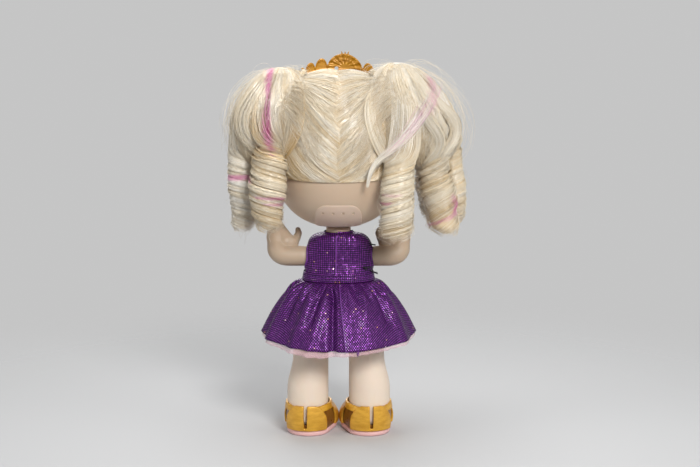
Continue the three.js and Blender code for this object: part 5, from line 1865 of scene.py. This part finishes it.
# Locks that sweep over the backs of the bunches: places across and up, and half the lock's breadth
SWEPT_LOCKS = {
    "left": [
        ([(29.6, 153.6), (34.8, 146.7), (38.7, 140.6), (40, 134.4),
          (37.7, 128.5), (33.2, 124.7), (27, 121.9), (23.6, 118.5)], 3.4),
    ],
    "right": [
        ([(-33.3, 144), (-35.1, 137.8), (-39.2, 133), (-42.1, 128.2),
          (-41.1, 122.6), (-37, 119.2), (-34.2, 114.3)], 2.6),
        ([(-38.4, 146.1), (-43.3, 140.6), (-48.2, 135.8), (-48.9, 130.2),
          (-45.9, 125.4), (-42.5, 121.3), (-42.2, 115.7), (-45.7, 109.4)], 2.8),
        ([(-18.5, 153.6), (-14.7, 146.7), (-13.4, 139.2), (-14.8, 132.3),
          (-17.6, 125.4), (-20.7, 119.2), (-25.6, 114.3)], 3.2),
    ],
}


def bunch_back(bunch, x, z):
    """How far back a bunch's bulb reaches at a place across and up."""
    wide, tall = bunch["half"]
    level = (z - HEAD_LEVEL - bunch["middle"][1]) / tall
    lean = bunch["side"] * (BUNCH_SPLAY * tall * level + bunch["lean"] * np.maximum(0, level) ** 2)
    across = (x - bunch["middle"][0] + lean) / wide
    return BUNCH_BACK + BUNCH_HALF_DEPTH * np.sqrt(np.maximum(0.05, 1 - level ** 2 - across ** 2))


def swept_locks():
    """Smooth rounded locks that sweep over the backs of the bunches towards the ringlets."""
    strands = Strands()
    along = shares(22)
    lines = SWEPT_STRANDS
    for hand, locks in SWEPT_LOCKS.items():
        for knots, half in locks:
            base = smoothed(through(knots, along)[None], 3)[0]
            run = np.gradient(base, axis=0)
            aside = np.stack([-run[:, 1], run[:, 0]], -1) / np.linalg.norm(run, axis=1, keepdims=True)
            across = each(-1, 1, lines)
            breadth = half * np.interp(along, [0, 0.25, 0.7, 1], [0.5, 1, 0.9, 0.35])
            flat = base + aside * (across * breadth)[..., None]
            crest = np.sqrt(1 - 0.9 * across ** 2)
            lift = 1.6 * crest - 0.4 + each(-0.2, 0.2, lines)
            back = bunch_back(BUNCHES[hand], flat[..., 0], flat[..., 1])
            back = back + lift * np.sin(math.pi * np.linspace(0.12, 0.9, len(along)))
            path = behind_head(np.stack([flat[..., 0], back, flat[..., 1]], -1), HAIR + 0.5)
            # Painted shade: each lock is darker towards its edges than along its crest
            tint = 0.5 + 0.24 * crest + draw.normal(0, 0.06, (lines, 1))
            taper = np.interp(along, [0, 0.1, 0.85, 1], [0.3, 1, 1, 0.35])
            strands.add(path, each(0.7, 1.3, lines) * taper, tint, pink_at(path))
    return fit(strands.piece("swept_locks", BLONDE), "head", "hair")


# Stray hairs over each bunch: their number, and the least and the most that they bow off its bulb, as
# shares of its size
BUNCH_STRAYS = ((130, 0, 0.05), (230, 0.03, 0.27))


def flyaways():
    """Fine stray hairs: a thin veil over the bunches, and hairs that bow off bunches and ringlets."""
    strands = Strands()
    along = shares(12)
    for bunch in BUNCHES.values():
        for lines, low, high in BUNCH_STRAYS:
            around = each(0, 2 * math.pi, lines) + draw.normal(0, 0.5, (lines, 1)) * along
            around = around + 0.1 * np.sin(9 * along + each(0, 6, lines)) * along
            first = each(0.15, 1.5, lines)
            polar = first + each(0.5, 1.4, lines) * along
            bow = np.sin(math.pi * along * each(0.5, 1, lines))
            path = bulb(bunch, around, polar, 0.99 + each(low, high, lines) * bow, 1.0)
            strands.add(clear_of_head(path, HAIR + 0.3), each(0.5, 1, lines), 0.8)
    lines = RINGLET_STRAYS
    for name, curl in RINGLETS.items():
        start = each(0, 2 * math.pi, lines)
        share = each(0.1, 0.8, lines) - each(0.08, 0.25, lines) * along
        middle, radius = ringlet_axis(bunch_of(name), curl, share)
        turn = start + each(0.5, 2, lines) * along
        reach = radius * (0.98 + each(0.05, 0.4, lines) * np.sin(math.pi * along))
        path = clear_of_head(middle + spoke(turn) * reach[..., None], HAIR + 0.3)
        strands.add(path, each(0.5, 1, lines), 0.8)
    return fit(strands.piece("flyaways", BLONDE, STRAY), "head", "hair")


def tie_wrap(strands, side, share):
    """Adds hair that winds round a tie."""
    lines = WRAP_STRANDS
    turn = each(0, 2 * math.pi, lines) + share * each(0.6, 1.6, lines)
    reach = TIE_REACH + each(-0.1, 0.5, lines)
    rise = each(-0.5, 3.2, lines) + draw.normal(0, 0.5, (lines, 1)) * share
    path = np.stack([reach * np.cos(turn), reach * np.sin(turn), rise], -1) + tie_place(side) + HEAD_MIDDLE
    strands.add(clear_of_head(path, HAIR + 0.1), each(0.6, 1.2, lines), 0.55)


def joining_strands():
    """Hair that leaves the scalp beside each bunch and lies over its inner edge, and hair round the tie."""
    strands = Strands()
    share = shares(14)
    lines = JOINING_STRANDS
    for bunch in BUNCHES.values():
        side = bunch["side"]
        level = draw.uniform(-6, 33, lines)
        bend = np.arccos(np.clip(level / (HEAD_RISE + 1), -1, 1))
        away = draw.uniform(0.2, 0.48, lines) * side
        root = skull(np.stack([away, np.sin(bend), np.cos(bend)], -1), 1.6)
        over = 0.5 + draw.uniform(0, 0.9, lines) * (1 - 0.6 * level / 33)
        turn = math.pi / 2 + side * draw.uniform(0.1, 0.9, lines)
        middle = bulb(bunch, turn, over, 0.97) - HEAD_MIDDLE
        lower_turn = turn - side * draw.uniform(0, 0.3, lines)
        lower = over + draw.uniform(0.3, 0.8, lines)
        fall = bulb(bunch, lower_turn, lower, 0.97) - HEAD_MIDDLE
        control = 1.6 * middle - 0.3 * (root + fall)
        path = bezier(root[:, None], control[:, None], fall[:, None], share[None, :, None]) + HEAD_MIDDLE
        proud = 0.7 * np.sin(math.pi * share) * each(0, 1, lines)
        path = clear_of_head(path, HAIR + 0.2 + proud)
        width = each(0.5, 1.1, lines) * np.sin(math.pi * np.linspace(0.08, 0.92, 14))
        strands.add(path, width, 0.62 + draw.normal(0, 0.12, (lines, 1)))
        tie_wrap(strands, side, share)
    return fit(strands.piece("joining_strands", BLONDE), "head", "hair")


def hair():
    """All the hair, from the scalp outwards."""
    scalp_hair()
    for hand, bunch in BUNCHES.items():
        hair_bunch(hand, bunch)
    for name, curl in RINGLETS.items():
        ringlet(name, curl)
    joining_strands()
    crossing_lock()
    swept_locks()
    flyaways()


# Nodes that keep their own shape

KEPT_NODES = {
    "torso_front_shell": SKIN,
    "torso_rear_shell": SKIN,
    "closure_loop_tape": TAPE,
    "closure_hook_tape": TAPE,
    "hair_tie_left": TIE_BAND,
    "hair_tie_right": TIE_BAND,
}


def dress_nodes():
    """Gives the kept nodes their finishes."""
    for name, material in KEPT_NODES.items():
        mesh = frame["nodes"][name].data
        mesh.materials.clear()
        mesh.materials.append(material)


# Studio

# Lamps: place, width and height, and power
LAMPS = {
    "key": ((-0.26, 0.77, 0.525), (0.28, 0.22), 6.9),
    "overhead": ((0.05, 0, 0.9), (0.7, 0.5), 2.9),
    "left_box": ((0.7, 0.3, 0.35), (0.3, 0.6), 0.85),
    "right_box": ((-0.7, 0.3, 0.35), (0.3, 0.6), 0.6),
    "front_box": ((0.15, -0.8, 0.4), (0.5, 0.4), 2.1),
}
LAMP_TARGET = (0, 0, 0.09)
BACKDROP_GREY = (0.56, 0.56, 0.56, 1)
FLOOR_GREY = (0.6, 0.6, 0.6, 1)
FLOOR_RADIUS = 0.8


def area_light(name, place, size, power):
    """A rectangular lamp that points at the doll."""
    lamp = bpy.data.lights.new(name, "AREA")
    lamp.shape = "RECTANGLE"
    lamp.size, lamp.size_y = size
    lamp.energy = power
    made = linked(name, lamp)
    made.location = place
    made.rotation_euler = (Vector(LAMP_TARGET) - Vector(place)).to_track_quat("-Z", "Y").to_euler()


def studio():
    """Soft light, a plain grey backdrop and a floor that fades out into the backdrop."""
    scene = bpy.context.scene
    scene.view_settings.view_transform = "Standard"
    world = bpy.data.worlds.new("studio")
    world.use_nodes = True
    scene.world = world
    nodes = Nodes(world.node_tree)
    kinds = ("Camera", "Glossy", "Transmission")
    rays = sum(nodes.node("ShaderNodeLightPath", output=f"Is {kind} Ray") for kind in kinds)
    up = nodes.node("ShaderNodeTexCoord", output="Generated").part("Z").step(-0.3, 0.8)
    sky = {"Color": (0.95, 0.97, 1, 1), "Strength": 0.12 + up * 0.2}
    light = nodes.node("ShaderNodeBackground", {}, sky)
    backdrop = nodes.node("ShaderNodeBackground", {}, {"Color": BACKDROP_GREY, "Strength": 1})
    both = nodes.node("ShaderNodeMixShader", {}, {0: rays, 1: light, 2: backdrop})
    nodes.node("ShaderNodeOutputWorld", {}, {"Surface": both})
    for name, (place, size, power) in LAMPS.items():
        area_light(name, place, size, power)
    floor, nodes = paint("floor")
    fade = nodes.distance(nodes.place(), (0, 0, 0)).step(0.08, 0.32)
    matt = nodes.node("ShaderNodeBsdfDiffuse", {}, {"Color": FLOOR_GREY})
    clear = nodes.node("ShaderNodeBsdfTransparent")
    both = nodes.node("ShaderNodeMixShader", {}, {0: fade, 1: matt, 2: clear})
    nodes.node("ShaderNodeOutputMaterial", {}, {"Surface": both})
    disc = ring(FLOOR_RADIUS, (0, 0, -0.0001), 96)
    piece("floor", disc, [list(range(96))], floor)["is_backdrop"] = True


CAMERA_ASIDE = -0.0049
CAMERA_BACK = 0.6
CAMERA_HEIGHT = 0.172
CAMERA_LENS = 73.1
CAMERA_TILT = math.radians(81.9)


def camera():
    """The photo's camera, behind the doll."""
    lens = bpy.data.cameras.new("camera")
    lens.sensor_width = 36
    lens.lens = CAMERA_LENS
    made = linked("camera", lens)
    made.location = (NECK.x + CAMERA_ASIDE, NECK.y + CAMERA_BACK, CAMERA_HEIGHT)
    made.rotation_euler = (CAMERA_TILT, 0, math.radians(180))
    bpy.context.scene.camera = made


camera()
studio()
dress_nodes()
head()
face()
nape_panel()
neck()
for hand, side in SIDES.items():
    arm(hand, side)
    leg(hand, side)
    shoe_upper(hand, side)
    shoe_lining(hand, side)
    shoe_sole(hand, side)
bodice()
waistband()
skirt()
underskirt()
loose_threads()
tiara()
hair()

{"cad": [list(corner) for corner in cad_box], "visual": [list(corner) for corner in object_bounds()]}
